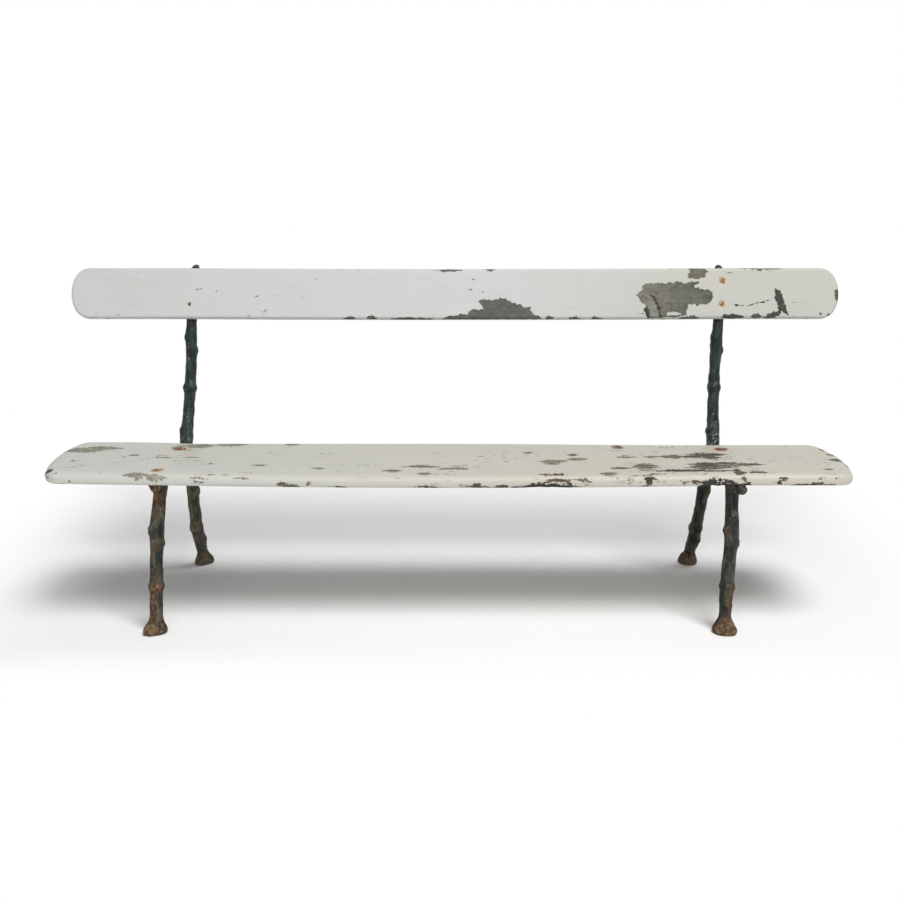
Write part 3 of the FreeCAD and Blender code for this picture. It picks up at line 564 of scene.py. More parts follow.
def plank_grid(outline, normals, half_axis, thickness, rounds, rows):
    """Grid of points from the top's middle line over the edge to the underside's middle line, in mm.

    Each outline point has a column. On the faces it runs straight from the eased edge to the nearest point
    of the plank's axis; over the edge it is a quarter of an ellipse, given by its run inwards and its drop,
    a short upright run and a quarter circle.
    """
    (upper_run, upper_drop), lower_round = rounds
    all_round = np.ones(len(outline))
    axis = np.stack([np.clip(outline[:, 0], -half_axis, half_axis), 0 * all_round], 1)
    inward = np.linspace(1, 0, rows)[:-1]
    quarter = np.linspace(np.pi / 2, 0, edge_points)
    over = np.outer(1 - np.cos(quarter), upper_run * all_round)
    under = np.outer(1 - np.cos(quarter[::-1]), lower_round * all_round)
    faces = np.ones((len(inward), len(outline)))
    depth = np.concatenate([faces * upper_run, over, [0 * all_round], under, faces * lower_round])
    share = np.concatenate([inward, np.zeros(len(over) + 1 + len(under)), inward[::-1]])
    over_level = thickness - np.outer(1 - np.sin(quarter), upper_drop * all_round)
    under_level = np.outer(1 - np.sin(quarter[::-1]), lower_round * all_round)
    middle = (thickness - upper_drop * all_round + lower_round) / 2
    level = np.concatenate([faces * thickness, over_level, [middle], under_level, faces * 0])
    edge = outline[None] - normals[None] * depth[..., None]
    plan = edge + (axis[None] - edge) * share[:, None, None]
    upper = np.arange(len(level)) < len(inward) + len(over)
    return np.concatenate([plan, level[..., None]], 2), upper[:, None]


def grid_mesh(name, grid):
    """Mesh of a grid that closes on itself round its second direction."""
    rows, columns = grid.shape[:2]
    index = np.arange(rows * columns).reshape(rows, columns)
    ahead = np.roll(index, -1, axis=1)
    faces = np.stack([index[:-1], index[1:], ahead[1:], ahead[:-1]], -1).reshape(-1, 4)
    mesh = bpy.data.meshes.new(name)
    mesh.from_pydata(grid.reshape(-1, 3), [], faces)
    return mesh


def close_mesh(mesh):
    """Merge the doubles along the middle lines and turn all faces outwards."""
    work = bmesh.new()
    work.from_mesh(mesh)
    bmesh.ops.remove_doubles(work, verts=work.verts, dist=2e-5)
    bmesh.ops.recalc_face_normals(work, faces=work.faces)
    work.to_mesh(mesh)
    work.free()
    mesh.shade_smooth()


def streak_field(along, across, marks, deepest, plain):
    """Signed reach of pointed streaks in mm, positive inside, and the colour of the wood below the paint.

    A streak's width falls off along the board as a parabola, so its ends are points. The field is what is
    left of that width, as a share, times half its width, kept between 7 mm and the deepest value. The colour
    is that of the furthest reaching streak, and fades to the plain wood's away from it.
    """
    best = np.full(along.shape, -60.0)
    colours = np.zeros((*along.shape, 3))
    for wood, spans in marks.items():
        for left, right, near, far in spans:
            half = (far - near) / 2
            off_along = (along - (left + right) / 2) / ((right - left) / 2)
            off_across = np.abs(across - (near + far) / 2) / half
            field = (1 - off_along**2 - off_across) * np.clip(half, 7, deepest)
            colours = np.where((field > best)[..., None], bare_woods[wood], colours)
            best = np.maximum(best, field)
    close = ramp(best, -14, -5)[..., None]
    return best, colours * close + np.array(bare_woods[plain]) * (1 - close)


def write_colours(mesh, name, colours):
    """Per-vertex colour that a material reads by name."""
    flat = colours.reshape(-1, 3)
    full = np.column_stack([flat, np.ones(len(flat))]).astype(np.float32)
    mesh.attributes.new(name, "FLOAT_COLOR", "POINT").data.foreach_set("color", full.ravel())


def flaking(tree, along, crumbs, ragged, crumb):
    """How far a place lies inside bare wood, in mm: above zero the paint is gone.

    It is the piece's own field plus noise drawn out along the grain, stronger to the right, and crumbs.
    Small chips come from a finer noise where the wear is high.
    """
    waves, length, amount = ragged
    streaks = swing(tree, mottle(tree, waves, 6, (length, 1, 1), (2, 5, 1), 0.64), amount)
    rougher = plus(tree, times(tree, band(tree, along, -0.6, 0.5), 0.5), 0.5)
    flakes = plus(tree, share_of(tree, "peel"), times(tree, streaks, rougher))
    flakes = plus(tree, flakes, swing(tree, crumbs, crumb))
    chips = mottle(tree, 100, 6, (3.0, 1, 1), (11, 6, 9), 0.66)
    chips = plus(tree, chips, swing(tree, mottle(tree, 9, 2, (2, 1, 1), (5, 0, 6)), 0.35))
    chips = maths(tree, "SUBTRACT", plus(tree, chips, share_of(tree, "wear")), 0.73)
    return maths(tree, "MAXIMUM", flakes, times(tree, chips, 50))


def worn_paint(tree, paint, brushed, lip):
    """Paint with brush marks, grime, hairline cracks and a painted highlight on the lip where it breaks off.
    """
    paint = tint(tree, times(tree, band(tree, brushed, 0.40, 0.75), 0.06), paint, (0.36, 0.35, 0.31))
    grime = band(tree, mottle(tree, 15, 6, (3, 1, 1), (4, 4, 0), 0.65), 0.50, 0.68)
    paint = tint(tree, times(tree, grime, 0.14), paint, (0.38, 0.37, 0.30))
    cracks = maths(tree, "ABSOLUTE", maths(tree, "SUBTRACT", mottle(tree, 48, 3, (9, 1, 1), (8, 2, 5)), 0.5))
    cracks = times(tree, band(tree, cracks, 0.004, 0.0), band(tree, mottle(tree, 7, 2), 0.54, 0.66))
    paint = tint(tree, times(tree, cracks, 0.4), paint, (0.22, 0.20, 0.16))
    # Painted highlight: the paint lighter along its lip at a flake's edge.
    return tint(tree, times(tree, lip, 0.30), paint, (0.70, 0.69, 0.62))


def weathered_wood(tree, peel, ring, grain):
    """Old wood in the piece's own colour, grey and black in patches, with dark rings and pores, and painted
    shade along the paint's edge.
    """
    wood = node(tree, "ShaderNodeAttribute", {"attribute_name": "bare_wood"}).outputs["Color"]
    greyed = band(tree, mottle(tree, 34, 5, (1.6, 1, 1), (1, 7, 2), 0.62), 0.46, 0.66)
    wood = tint(tree, times(tree, greyed, 0.24), wood, (0.25, 0.24, 0.20))
    blackened = band(tree, mottle(tree, 85, 6, (1.2, 1, 1), (7, 2, 6), 0.66), 0.46, 0.66)
    wood = tint(tree, times(tree, blackened, 0.42), wood, (0.052, 0.053, 0.046))
    pore = mottle(tree, 420, 3, (9, 1, 1), (6, 1, 8))
    for dark in (band(tree, ring, 0.60, 0.42), band(tree, pore, 0.54, 0.70)):
        wood = tint(tree, times(tree, dark, grain), wood, (0.030, 0.028, 0.022))
    # Painted shade: the bare wood darkened just inside the paint's edge, as under the lifted lip.
    return tint(tree, times(tree, band(tree, peel, 2.2, 0.2), 0.45), wood, (0.032, 0.029, 0.024))


def rust_stained(tree, colour, crumbs):
    """Colour stained by the rust of the bolts: a cream fringe, then orange, and brown next to the head."""
    patchy = plus(tree, swing(tree, crumbs, 5.0), 1.0)
    spread = times(tree, share_of(tree, "stain"), patchy)
    cream = times(tree, band(tree, spread, 0.15, 0.45), 0.65)
    colour = tint(tree, cream, colour, (0.66, 0.56, 0.34))
    orange = times(tree, band(tree, spread, 0.45, 0.75), 0.9)
    colour = tint(tree, orange, colour, (0.27, 0.100, 0.025))
    brown = times(tree, band(tree, spread, 0.90, 1.15), 0.9)
    return tint(tree, brown, colour, (0.065, 0.025, 0.012))


def peeling_paint(name, cool, warm, turn, ragged, crumb, grain):
    """Pale paint over weathered wood, gone where it flakes, rusted round the bolts.

    Its tone turns from cool to warm along the bench. Its relief is the paint's film, lifted at the lip, and
    the rings' hollows in the bare wood.
    """
    made, tree, shader = new_material(name)
    where = node(tree, "ShaderNodeTexCoord").outputs["Object"]
    along = node(tree, "ShaderNodeSeparateXYZ", None, {"Vector": where}).outputs[0]
    crumbs = mottle(tree, 200, 4, (1.4, 1, 1), (7, 3, 3), 0.6)
    clouds = mottle(tree, 3.2, 3, (2.5, 1, 1))
    brushed = mottle(tree, 260, 3, (30, 1, 1), (1, 1, 4))
    ring = mottle(tree, 190, 5, (16, 1, 1), (3, 9, 2), 0.66)
    peel = flaking(tree, along, crumbs, ragged, crumb)
    bare = band(tree, peel, -0.2, 0.3)
    kept = maths(tree, "SUBTRACT", 1.0, bare)
    # The lip is raised in the relief and gets a painted highlight in the colour.
    lip = times(tree, band(tree, peel, -2.0, -0.3), kept)

    paint = tint(tree, band(tree, plus(tree, along, swing(tree, clouds, 0.8)), *turn), cool, warm)
    paint = worn_paint(tree, paint, brushed, lip)
    colour = tint(tree, bare, paint, weathered_wood(tree, peel, ring, grain))
    tree.links.new(rust_stained(tree, colour, crumbs), shader.inputs["Base Color"])
    gloss = maths(tree, "SUBTRACT", 0.45, times(tree, bare, 0.37))
    tree.links.new(gloss, shader.inputs["Specular IOR Level"])
    rough = plus(tree, times(tree, bare, 0.34), times(tree, clouds, 0.12))
    tree.links.new(plus(tree, rough, 0.44), shader.inputs["Roughness"])
    film = plus(tree, kept, times(tree, lip, 0.35))
    hollow = times(tree, times(tree, bare, ring), 0.7)
    height = plus(tree, plus(tree, film, hollow), times(tree, brushed, 0.05))
    relief_of(tree, shader, height, 0.7 * MM, 0.7)
    return made


def painted_board(name, world, field, wear, stain, colours):
    """Closed mesh of a board's grid with the numbers and colours that its paint reads."""
    mesh = grid_mesh(name, world)
    write_share(mesh, "peel", np.clip(field, -40, 40).ravel())
    write_share(mesh, "wear", wear.ravel())
    write_share(mesh, "stain", stain.ravel())
    write_colours(mesh, "bare_wood", colours)
    close_mesh(mesh)
    return mesh


def seat_wear(x, across):
    """How thick small chips lie: more at the front and to the right, the most in the clusters."""
    front = ramp(-across, -30, -6)
    specked = 0.09 * bell(x, -610, 120) * front
    for speck_x, speck_v, long, high in seat_specks:
        specked += 0.15 * bell(x, speck_x, long) * bell(across, speck_v, high)
    return 0.06 + 0.04 * bell(x, 520, 330) + 0.02 * front + specked


def seat_mesh():
    """Seat board: plank grid, let in round the bolt heads, lifted at its left end, its front edge sagged.

    The sag is a parabola between the frames that fades out to the rear. The top edge is soft, but crisp
    along the left half of the rear. Bare patches of the front face are eaten a little into the wood.
    """
    outline, normals = plank_outline(
        seat_length, seat_depth, seat_end_radius, seat_corner_radius, seat_spacing
    )
    half_axis = (seat_length - seat_depth) / 2
    in_crisp = ramp(outline[:, 0], *seat_crisp_start) * (1 - ramp(outline[:, 0], *seat_crisp_end))
    crisp = ramp(normals[:, 1], 0.0, 0.6) * in_crisp
    soft = [size + (seat_rear_round - size) * crisp for size in seat_top_round]
    rounds = (soft, seat_under_round)
    grid, upper = plank_grid(outline, normals, half_axis, seat_thickness, rounds, seat_rows)
    x = grid[..., 0] + seat_middle_x
    behind = grid[..., 1] + seat_depth / 2
    z = grid[..., 2]
    drop = seat_thickness - z
    facing = normals[None, :, 1]
    across = np.where(upper, behind + drop * np.minimum(facing, 0), -drop - np.maximum(behind, 0))
    field, colours = streak_field(x, across, seat_marks, 13, "dun")

    on_top = upper & (z > seat_thickness - 0.01)
    recess_rim = bolt_head_radius + bolt_recess_slope
    stain = np.zeros_like(x)
    for (bolt_x, bolt_y), strength in zip(seat_bolts.values(), rust_at_seat_bolts):
        off_x = x - bolt_x
        off_y = behind + seat_front_y - bolt_y
        z = z - bolt_recess * on_top * ramp(-np.hypot(off_x, off_y), -recess_rim, -bolt_head_radius)
        away = np.hypot(off_x - seat_rust_run[0], off_y - seat_rust_run[1])
        stain = np.maximum(stain, strength * upper * ramp(-away, -seat_rust_end, -seat_rust_full))
    frame_x = frame_spread + seat_middle_x
    to_rear = behind / seat_depth
    sag = -seat_sag * (1 - to_rear) * (1 - np.clip(x / frame_x, -1, 1) ** 2)
    lift = np.maximum(-x - frame_x, 0) / seat_lift_length * (seat_lift + seat_rear_lift * to_rear)
    chipped = ramp(field, 0, 4) * ramp(-across, 12, 24) * ramp(across, -60, -40)
    rough = lattice_noise(np.stack([x, across, z], -1).reshape(-1, 3) / [12, 7, 7], 2).reshape(x.shape)
    z = z + chipped * (chip_depth + chip_rough_up * rough)
    y = behind + seat_front_y + chipped * (chip_depth + chip_rough_in * rough)
    world = np.stack([x, y, z + sag + lift + seat_top - seat_thickness], -1) * MM
    return painted_board("seat_board_painted", world, field, seat_wear(x, across), stain, colours)


seat_paint = peeling_paint(
    "seat_paint", seat_cool, seat_warm, seat_turn, seat_ragged, seat_crumb, seat_grain
)
add_piece("seat_board_painted", seat_mesh(), seat_paint, "painted_wood", "seat_board")


# Back board: a thinner plank with round ends, bolted to the two uprights and leaning back with them.
# Its paint is sounder and cooler than the seat's, with a few large flakes down to slate-grey wood.
# The lower edge is chipped along most of its length.

back_length, back_height, back_thickness = 2080, 137, 27
back_end_radius, back_corner_radius, back_edge_round = 98, 45, 7
back_spacing, back_rows, back_sag = 5.0, 26, 2.5
back_cool, back_warm, back_turn = (0.522, 0.534, 0.524), (0.468, 0.466, 0.424), (-0.1, 0.95)
back_ragged, back_crumb, back_grain = (70, 1.3, 26), 14, 0.16
paint_depth, splinter_rise = 0.5, 1.6
back_bolts = {
    "left_lower_back_bolt": (-718.2, 38),
    "left_upper_back_bolt": (-715.3, 104),
    "right_lower_back_bolt": (721.8, 38),
    "right_upper_back_bolt": (724.7, 104),
}
# Strength of the rust round each, where it fades and ends in mm, and the same for the drip below it, whose
# strength is a share. The drip's distance is counted from a start below the bolt, more sideways than down.
rust_at_back_bolts = (0.35, 0.0, 0.8, 1.0)
back_rust_full, back_rust_end = 7, 15
drip_full, drip_end, drip_strength = 3, 14, 0.5
drip_start, drip_down, drip_sideways = 10, 0.8, 1.5

# Large flakes: wood seen at their left and right ends, and their outlines in mm, along the board from its
# middle and up from its lower edge.
back_flakes = {
    ("slate", "slate"): [
        (-41, -8), (-18, 7), (0, 11), (34, 11), (37, 21), (56, 29), (61, 20), (77, 29), (65, 47), (78, 53),
        (98, 51), (129, 56), (142, 54), (161, 42), (184, 34), (202, 31), (213, 11), (236, 4), (236, -8),
    ],
    ("ash", "slate"): [
        (490, 65), (507, 79), (510, 91), (527, 97), (572, 96), (606, 99), (626, 97), (660, 99), (651, 84),
        (667, 81), (691, 75), (696, 56), (691, 40), (644, 37), (631, 34), (629, 18), (631, 9), (608, 4),
        (572, 4), (548, -4), (523, -4), (510, 25), (516, 31), (494, 59),
    ],
    ("bark", "bark"): [
        (634, 142), (662, 142), (687, 127), (676, 119), (676, 109), (633, 110), (637, 121),
    ],
    ("soot", "soot"): [
        (864, 80), (877, 77), (889, 53), (894, 27), (908, 4), (891, 9), (884, 17), (877, 9), (864, -4),
        (847, 4), (857, 14), (875, 18), (870, 38), (864, 68),
    ],
}
# In the widest flake: a raised splinter, how far its outline moves along and up for each painted shadow
# beside it, and an island of paint.
back_splinter = [(519, 64), (533, 61), (549, 28), (553, -4), (526, -4), (522, 30)]
splinter_shadow_shifts = [(6, 0), (-7, -30)]
back_island = [(568, 13), (590, 17), (610, 12), (606, 8), (572, 8)]
# Chips along the edges by the wood seen, in mm: from and to along the board, from and to up its face.
back_marks = {
    "slate": [
        (-306, -266, -12, 6), (-240, -210, -10, 9), (-196, -52, -14, 4), (240, 268, -10, 7),
        (300, 344, -12, 4), (362, 400, -12, 5), (606, 668, -12, 6), (1004, 1018, 4, 14),
        (-60, 34, 129, 137),
    ],
    "soot": [
        (718, 782, -8, 12), (798, 832, -5, 10), (830, 862, -6, 8), (984, 994, 8, 15),
        (1026, 1054, 32, 84),
    ],
    "bark": [
        (78, 112, 130, 150),
    ],
    "umber": [
        (770, 892, 132, 150),
    ],
}
# Hairline crack right of the lower bolt, its reach in mm at its middle and the fall of that to its sides.
back_crack = [(758, 35), (770, 35), (786, 32), (800, 36), (812, 39), (832, 42), (850, 48)]
crack_reach, crack_fall = 3.3, 1.8


def flake_field(along, across, corners):
    """Signed distance in mm from the rim of an outline, positive inside, over all vertices at once."""
    nearest = np.full(along.shape, 1e9)
    inside = np.zeros(along.shape, bool)
    for (x0, v0), (x1, v1) in zip(corners, corners[1:] + corners[:1]):
        run_x = x1 - x0
        run_v = v1 - v0
        share = np.clip(((along - x0) * run_x + (across - v0) * run_v) / (run_x**2 + run_v**2), 0, 1)
        nearest = np.minimum(nearest, np.hypot(along - x0 - share * run_x, across - v0 - share * run_v))
        if run_v:
            crosses = ((v0 > across) != (v1 > across)) & (along < run_x * (across - v0) / run_v + x0)
            inside = inside ^ crosses
    return np.where(inside, nearest, -nearest)


def on_back_board(x, up, out):
    """Place in the world of a point of the back board: along, up its rear face and out of it, all in mm."""
    rear_y, rear_z = back_rear_foot
    rise, run = np.cos(back_recline), np.sin(back_recline)
    return np.stack([x, rear_y + up * run - out * rise, rear_z + up * rise + out * run], -1) * MM


def back_bare(x, across):
    """Reach in mm of the back board's bare patches, the colour of their wood, and the splinter's own reach.

    The reach is the greatest of the chips' streaks and the large flakes, less the island of paint. The
    splinter's shadow is painted black along its right and at its lower left.
    """
    field, colours = streak_field(x, across, back_marks, 8, "slate")
    for (left_wood, right_wood), corners in back_flakes.items():
        flake = flake_field(x, across, corners)
        to_right = ramp(x, min(corners)[0], max(corners)[0])[..., None]
        wood = np.array(bare_woods[left_wood]) * (1 - to_right) + np.array(bare_woods[right_wood]) * to_right
        colours = np.where((flake > -6)[..., None], wood, colours)
        field = np.maximum(field, flake)
    splinter = flake_field(x, across, back_splinter)
    # Painted shadow of the raised splinter: its outline moved aside and drawn black.
    for moved_along, moved_up in splinter_shadow_shifts:
        splinter_shadow = flake_field(x - moved_along, across - moved_up, back_splinter) > -1
        colours = np.where(splinter_shadow[..., None], bare_woods["black"], colours)
    colours = np.where((splinter > 1)[..., None], bare_woods["silver"], colours)
    return np.minimum(field, -flake_field(x, across, back_island)), colours, splinter


def back_stain(x, up):
    """Rust round each bolt, and half as strong in a drip below it."""
    stain = np.zeros_like(x)
    for (bolt_x, bolt_up), strength in zip(back_bolts.values(), rust_at_back_bolts):
        away = np.hypot(x - bolt_x, up - bolt_up)
        below = np.maximum(bolt_up - up - drip_start, 0) * drip_down
        run = np.hypot((x - bolt_x) * drip_sideways, np.maximum(up - bolt_up, 0) + below)
        drip = drip_strength * ramp(-run, -drip_end, -drip_full)
        near = np.maximum(ramp(-away, -back_rust_end, -back_rust_full), drip)
        stain = np.maximum(stain, strength * near)
    return stain


def back_mesh():
    """Back board: plank grid laid on the reclined plane of the uprights, sagged as a parabola between them.

    Bare wood lies a paint's depth below the paint, and the splinter stands out of it.
    """
    outline, normals = plank_outline(
        back_length, back_height, back_end_radius, back_corner_radius, back_spacing
    )
    half_axis = (back_length - back_height) / 2
    rounds = ((back_edge_round, back_edge_round), back_edge_round)
    grid, front = plank_grid(outline, normals, half_axis, back_thickness, rounds, back_rows)
    x = grid[..., 0]
    up = grid[..., 1] + back_height / 2
    out = grid[..., 2]
    drop = back_thickness - out
    across = np.where(front | (drop < 20), up + drop * normals[None, :, 1], -60.0)
    field, colours, splinter = back_bare(x, across)
    out = out + front * (splinter_rise * ramp(splinter, 0, 5) - paint_depth * ramp(field, 0, 3))
    sag = back_sag * (1 - np.clip(x / frame_spread, -1, 1) ** 2)
    world = on_back_board(x, up - sag, out)

    crack = np.abs(flake_field(x, across, back_crack + back_crack[-2:0:-1]))
    colours = np.where((crack < 6)[..., None], bare_woods["black"], colours)
    field = np.maximum(field, crack_reach - crack_fall * crack)
    rim = ramp(np.abs(up - back_height / 2), 50, 68)
    lower = front * ramp(-across, -7, 4)
    wear = 0.01 + 0.03 * ramp(x, 300, 800) + (1 - front) * (0.02 + 0.05 * rim) + 0.05 * lower
    return painted_board("back_board_painted", world, field, wear, back_stain(x, up) * front, colours)


back_paint = peeling_paint(
    "back_paint", back_cool, back_warm, back_turn, back_ragged, back_crumb, back_grain
)
add_piece("back_board_painted", back_mesh(), back_paint, "painted_wood", "back_board")


# Coach bolts: low round heads let into the boards, a square neck, a shank and a cut thread at the far end.
# Plain steel, rusted. On the back board the paint still covers the rims of the heads and all of one.

bolt_radius, bolt_tip_radius, bolt_neck_width, bolt_neck_length = 4.0, 3.3, 9.0, 5.0
bolt_thread_pitch, bolt_thread_depth, bolt_thread_length = 1.25, 0.5, 16.0
# Radius and depth below the rim in mm: the head's flat underside, the neck and the step to the shank.
bolt_under_head = [
    (9.6, 0.5),
    (5.0, 0.7),
    (4.6, 0.9),
    (4.6, bolt_neck_length),
    (4.1, bolt_neck_length + 0.6),
]
washer_thickness, nut_height, thread_past_nut = 1.8, 6.5, 4.0
# Points round a bolt, rings of its crown, rows to a turn of its thread.
bolt_points, crown_rings, thread_rows = 28, 12, 6
# Iron that each bolt goes through, in mm.
bolt_grips = {"front_seat": 14.0, "rear_seat": 20.0, "lower_back": 19.0, "upper_back": 19.0}
# Height of a head in mm, less where paint has filled in round it, paint left on it from its rim inwards in
# mm, and how dark its rust is in the middle and at the rim.
bolt_faces = {
    "left_front_seat_bolt": (4.0, 0.0, 1.0, 0.5),
    "left_rear_seat_bolt": (4.0, 0.0, 0.4, 0.7),
    "right_front_seat_bolt": (4.0, 0.0, 1.0, 1.0),
    "right_rear_seat_bolt": (4.0, 0.0, 0.0, 1.0),
    "left_lower_back_bolt": (2.8, 3.9, 0.8, 0.2),
    "left_upper_back_bolt": (2.0, 12.0, 0.4, 0.4),
    "right_lower_back_bolt": (3.6, 2.6, 0.3, 0.0),
    "right_upper_back_bolt": (3.6, 2.4, 0.2, 0.0),
}


def bolt_mesh(name, rim_centre, outward, length):
    """Coach bolt turned about its axis, from the crown of the head to the far end.

    The profile gives radius and depth below the rim. The neck is a superellipse round the axis, and the
    thread a triangle wave of depth less turn, so its ridge climbs one pitch a turn.
    """
    head_height, kept, dark_middle, dark_rim = bolt_faces[name]
    crown = np.linspace(0, bolt_head_radius, crown_rings)
    dome = -head_height * (1 - (crown / bolt_head_radius) ** 2)
    thread = np.arange(length - bolt_thread_length, length - 0.6, bolt_thread_pitch / thread_rows)
    neck_radius, neck_depth = np.transpose(bolt_under_head)
    radius = np.concatenate([crown, neck_radius, np.full(len(thread), bolt_radius), [bolt_tip_radius, 0]])
    depth = np.concatenate([dome, neck_depth, thread, [length, length]])
    turn = np.linspace(0, 2 * np.pi, bolt_points, endpoint=False)
    wide = np.broadcast_to(radius[:, None], (len(radius), len(turn))).copy()
    square = (np.abs(np.cos(turn)) ** 8 + np.abs(np.sin(turn)) ** 8) ** (-1 / 8)
    first = len(crown) + 2
    wide[first:first + 2] = bolt_neck_width / 2 * square
    cut = slice(first + 3, first + 3 + len(thread))
    wave = np.abs(((thread[:, None] / bolt_thread_pitch - turn / (2 * np.pi)) % 1) * 2 - 1)
    fade = ramp(thread - thread[0], 0, 2 * bolt_thread_pitch)[:, None]
    wide[cut] -= bolt_thread_depth * wave * fade
    side = np.array([1.0, 0, 0])
    other = np.cross(outward, side)
    ring = np.cos(turn)[:, None] * side + np.sin(turn)[:, None] * other
    grid = rim_centre + (wide[..., None] * ring[None] - depth[:, None, None] * outward) * MM
    mesh = grid_mesh(name, grid)
    on_head = depth[:, None] < 0.1
    paint = ramp(wide, bolt_head_radius - kept - 2.5, bolt_head_radius - kept + 0.5) * on_head * (kept > 0)
    write_share(mesh, "painted", paint.ravel())
    dark = dark_middle + (dark_rim - dark_middle) * ramp(wide, 2.5, 6.5)
    write_share(mesh, "dark", dark.ravel())
    close_mesh(mesh)
    return mesh


def rusted_steel(name, age):
    """Rust of two depths on plain steel, scaly, darker with age, under what is left of the board's paint."""
    made, tree, shader = new_material(name)
    scale = mottle(tree, 520, 6, rough=0.66)
    blotch = mottle(tree, 190, 3, shift=(3, 3, 3))
    colour = tint(tree, band(tree, scale, 0.36, 0.64), (0.090, 0.032, 0.013), (0.350, 0.145, 0.038))
    colour = tint(tree, times(tree, band(tree, blotch, 0.50, 0.62), 0.8), colour, (0.58, 0.40, 0.19))
    dark = times(tree, plus(tree, share_of(tree, "dark"), age), 0.85)
    colour = tint(tree, dark, colour, (0.042, 0.020, 0.013))
    painted = plus(tree, share_of(tree, "painted"), swing(tree, scale, 3.0))
    kept = band(tree, share_of(tree, "painted"), 0, 0.1)
    painted = times(tree, band(tree, painted, 0.42, 0.54), kept)
    colour = tint(tree, painted, colour, (0.53, 0.545, 0.525))
    tree.links.new(colour, shader.inputs["Base Color"])
    tree.links.new(plus(tree, times(tree, scale, 0.3), 0.58), shader.inputs["Roughness"])
    relief_of(tree, shader, plus(tree, scale, painted), 0.5 * MM, 0.8)
    return made


def add_bolt(name, place, outward, board):
    """Bolt on a board's face, long enough for the board, the iron, a washer, a nut and some thread."""
    row = name.split("_", 1)[1].removesuffix("_bolt")
    reach = board - bolt_recess + bolt_grips[row] + washer_thickness + nut_height + thread_past_nut
    turned = bolt_mesh(name, place, outward, reach)
    add_piece(f"{name}_turned", turned, rust, "rusted_steel", name)


rust = rusted_steel("rusted_steel", 0.0)
upwards = np.array([0.0, 0.0, 1.0])
for name, (bolt_x, bolt_y) in seat_bolts.items():
    place = np.array([bolt_x, bolt_y, seat_top - bolt_recess]) * MM
    add_bolt(name, place, upwards, seat_thickness)
for name, (bolt_x, bolt_up) in back_bolts.items():
    place = on_back_board(np.array(bolt_x), np.array(bolt_up), np.array(back_thickness - bolt_recess))
    add_bolt(name, place, back_outward, back_thickness)


# Washers and nuts: round steel washers and square steel nuts on spot faces of the castings, rusted dark.
# They are drawn up under the arms and behind the uprights, out of sight from the front.

old_rust = rusted_steel("old_rust", 0.65)
for name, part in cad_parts.items():
    if name.endswith(("_washer", "_nut")):
        part.data.materials.clear()
        part.data.materials.append(old_rust)


# Stage: a pale floor that takes the bench's shadow and runs out to white, one soft high lamp and a weak one
# in front. The camera stands where the photo was taken from.

floor_half = 30.0
# Where the floor starts to turn white and where it is white, in metres to each side, in front and behind.
floor_aside, floor_ahead, floor_behind = (0.92, 1.5), (-0.31, -0.55), (0.87, 1.35)
surround_light, surround_side_loss = 0.27, 0.21
# Place, point that it faces, width in metres, power in watts.
lamps = {
    "high_window": ((2.3, -3.9, 8.1), (0.0, 0.0, 0.3), 3.6, 650),
    "front_fill": ((-0.6, -5.5, 1.6), (0.0, 0.0, 0.5), 3.0, 62),
}
camera_place, camera_tilt_down = (-0.0135, -2.984, 1.150), 13.88
camera_lens, camera_sensor = 46.0, 36.0


def seen_rays(tree):
    """1 for what the camera sees, straight, mirrored or through glass, 0 for light on the object."""
    path = node(tree, "ShaderNodeLightPath").outputs
    straight = maths(tree, "MAXIMUM", path["Is Camera Ray"], path["Is Transmission Ray"])
    return maths(tree, "MAXIMUM", straight, path["Is Glossy Ray"])


def shaders(tree, share, first, second):
    """Mix of two shaders."""
    mixed = node(tree, "ShaderNodeMixShader", None, {"Fac": share})
    tree.links.new(first.outputs[0], mixed.inputs[1])
    tree.links.new(second.outputs[0], mixed.inputs[2])
    return mixed


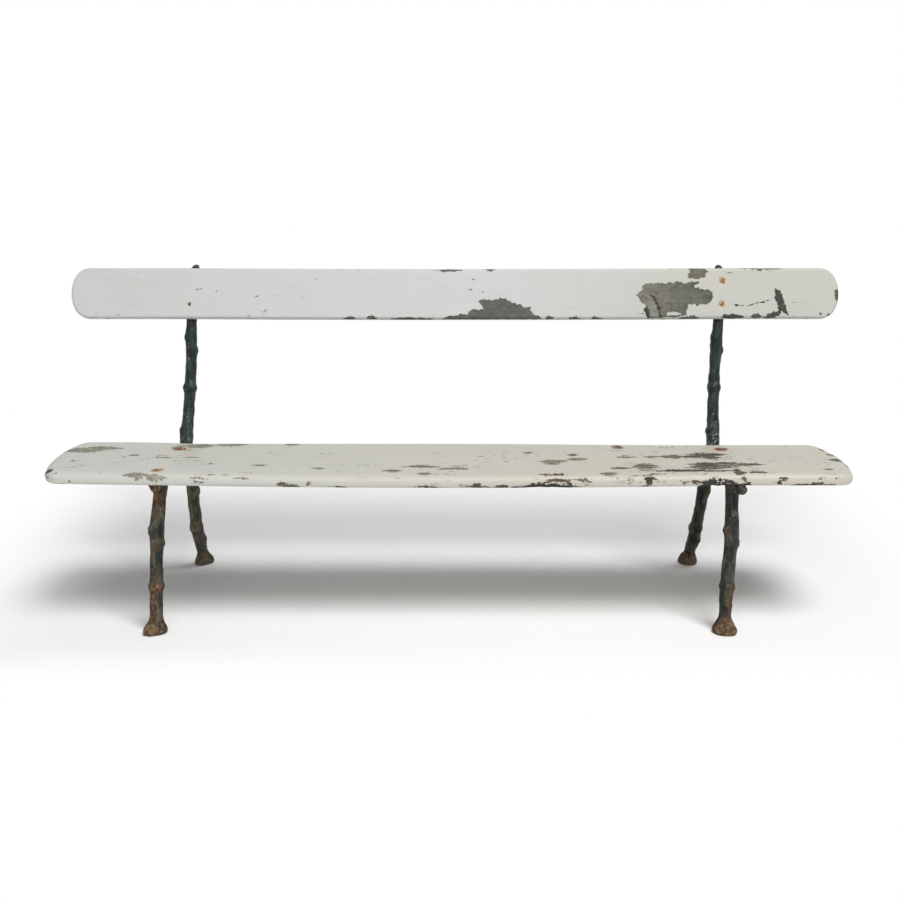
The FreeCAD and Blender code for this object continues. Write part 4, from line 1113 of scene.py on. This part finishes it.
def add_floor():
    """Flat square floor, pale round the bench for its shadow, white beyond and clear from below."""
    corners = np.array([(-1, -1, 0), (1, -1, 0), (1, 1, 0), (-1, 1, 0)]) * floor_half
    mesh = bpy.data.meshes.new("floor")
    mesh.from_pydata(corners, [], [(0, 1, 2, 3)])
    floor = bpy.data.objects.new("floor", mesh)
    bpy.context.scene.collection.objects.link(floor)
    made, tree, shader = new_material("pale_floor")
    shader.inputs["Base Color"].default_value = (0.98, 0.98, 0.98, 1)
    shader.inputs["Roughness"].default_value = 0.9
    shader.inputs["Specular IOR Level"].default_value = 0.0
    where = node(tree, "ShaderNodeTexCoord").outputs["Object"]
    parts = node(tree, "ShaderNodeSeparateXYZ", None, {"Vector": where}).outputs
    aside = band(tree, maths(tree, "ABSOLUTE", parts[0]), *floor_aside)
    ahead = band(tree, parts[1], *floor_ahead)
    behind = band(tree, parts[1], *floor_behind)
    far = maths(tree, "MAXIMUM", aside, maths(tree, "MAXIMUM", ahead, behind))
    share = times(tree, far, seen_rays(tree))
    white = node(tree, "ShaderNodeEmission", None, {"Color": (1, 1, 1, 1), "Strength": 1.0})
    clear = node(tree, "ShaderNodeBsdfTransparent")
    under = node(tree, "ShaderNodeNewGeometry").outputs["Backfacing"]
    pale = shaders(tree, share, shader, white)
    shown = shaders(tree, under, pale, clear)
    tree.links.new(shown.outputs[0], tree.nodes["Material Output"].inputs["Surface"])
    mesh.materials.append(made)


def add_world():
    """White surround for the camera and for reflections, softer as a light and dimmest at the two sides."""
    world = bpy.data.worlds.new("studio")
    bpy.context.scene.world = world
    world.use_nodes = True
    tree = world.node_tree
    seen = seen_rays(tree)
    toward = node(tree, "ShaderNodeTexCoord").outputs["Generated"]
    aside = node(tree, "ShaderNodeSeparateXYZ", None, {"Vector": toward}).outputs[0]
    loss = times(tree, times(tree, aside, aside), surround_side_loss)
    light = maths(tree, "SUBTRACT", surround_light, loss)
    strength = plus(tree, light, times(tree, seen, maths(tree, "SUBTRACT", 1.0, light)))
    surround = tree.nodes["Background"]
    surround.inputs["Color"].default_value = (1, 1, 1, 1)
    tree.links.new(strength, surround.inputs["Strength"])


def add_lamp(name, place, target, width, power):
    """Soft square lamp that faces a point."""
    lamp = bpy.data.lights.new(name, "AREA")
    lamp.shape = "SQUARE"
    lamp.size = width
    lamp.energy = power
    holder = bpy.data.objects.new(name, lamp)
    toward = np.array(target) - np.array(place)
    holder.location = place
    flat = np.hypot(toward[0], toward[1])
    holder.rotation_euler = (np.arctan2(flat, -toward[2]), 0, np.arctan2(-toward[0], toward[1]))
    bpy.context.scene.collection.objects.link(holder)


add_floor()
add_world()
for name, (place, target, width, power) in lamps.items():
    add_lamp(name, place, target, width, power)

camera_data = bpy.data.cameras.new("photo_camera")
camera_data.sensor_width = camera_sensor
camera_data.lens = camera_lens
camera = bpy.data.objects.new("photo_camera", camera_data)
camera.location = camera_place
camera.rotation_euler = (np.radians(90 - camera_tilt_down), 0, 0)
bpy.context.scene.collection.objects.link(camera)
bpy.context.scene.camera = camera
bpy.context.scene.view_settings.view_transform = "Standard"
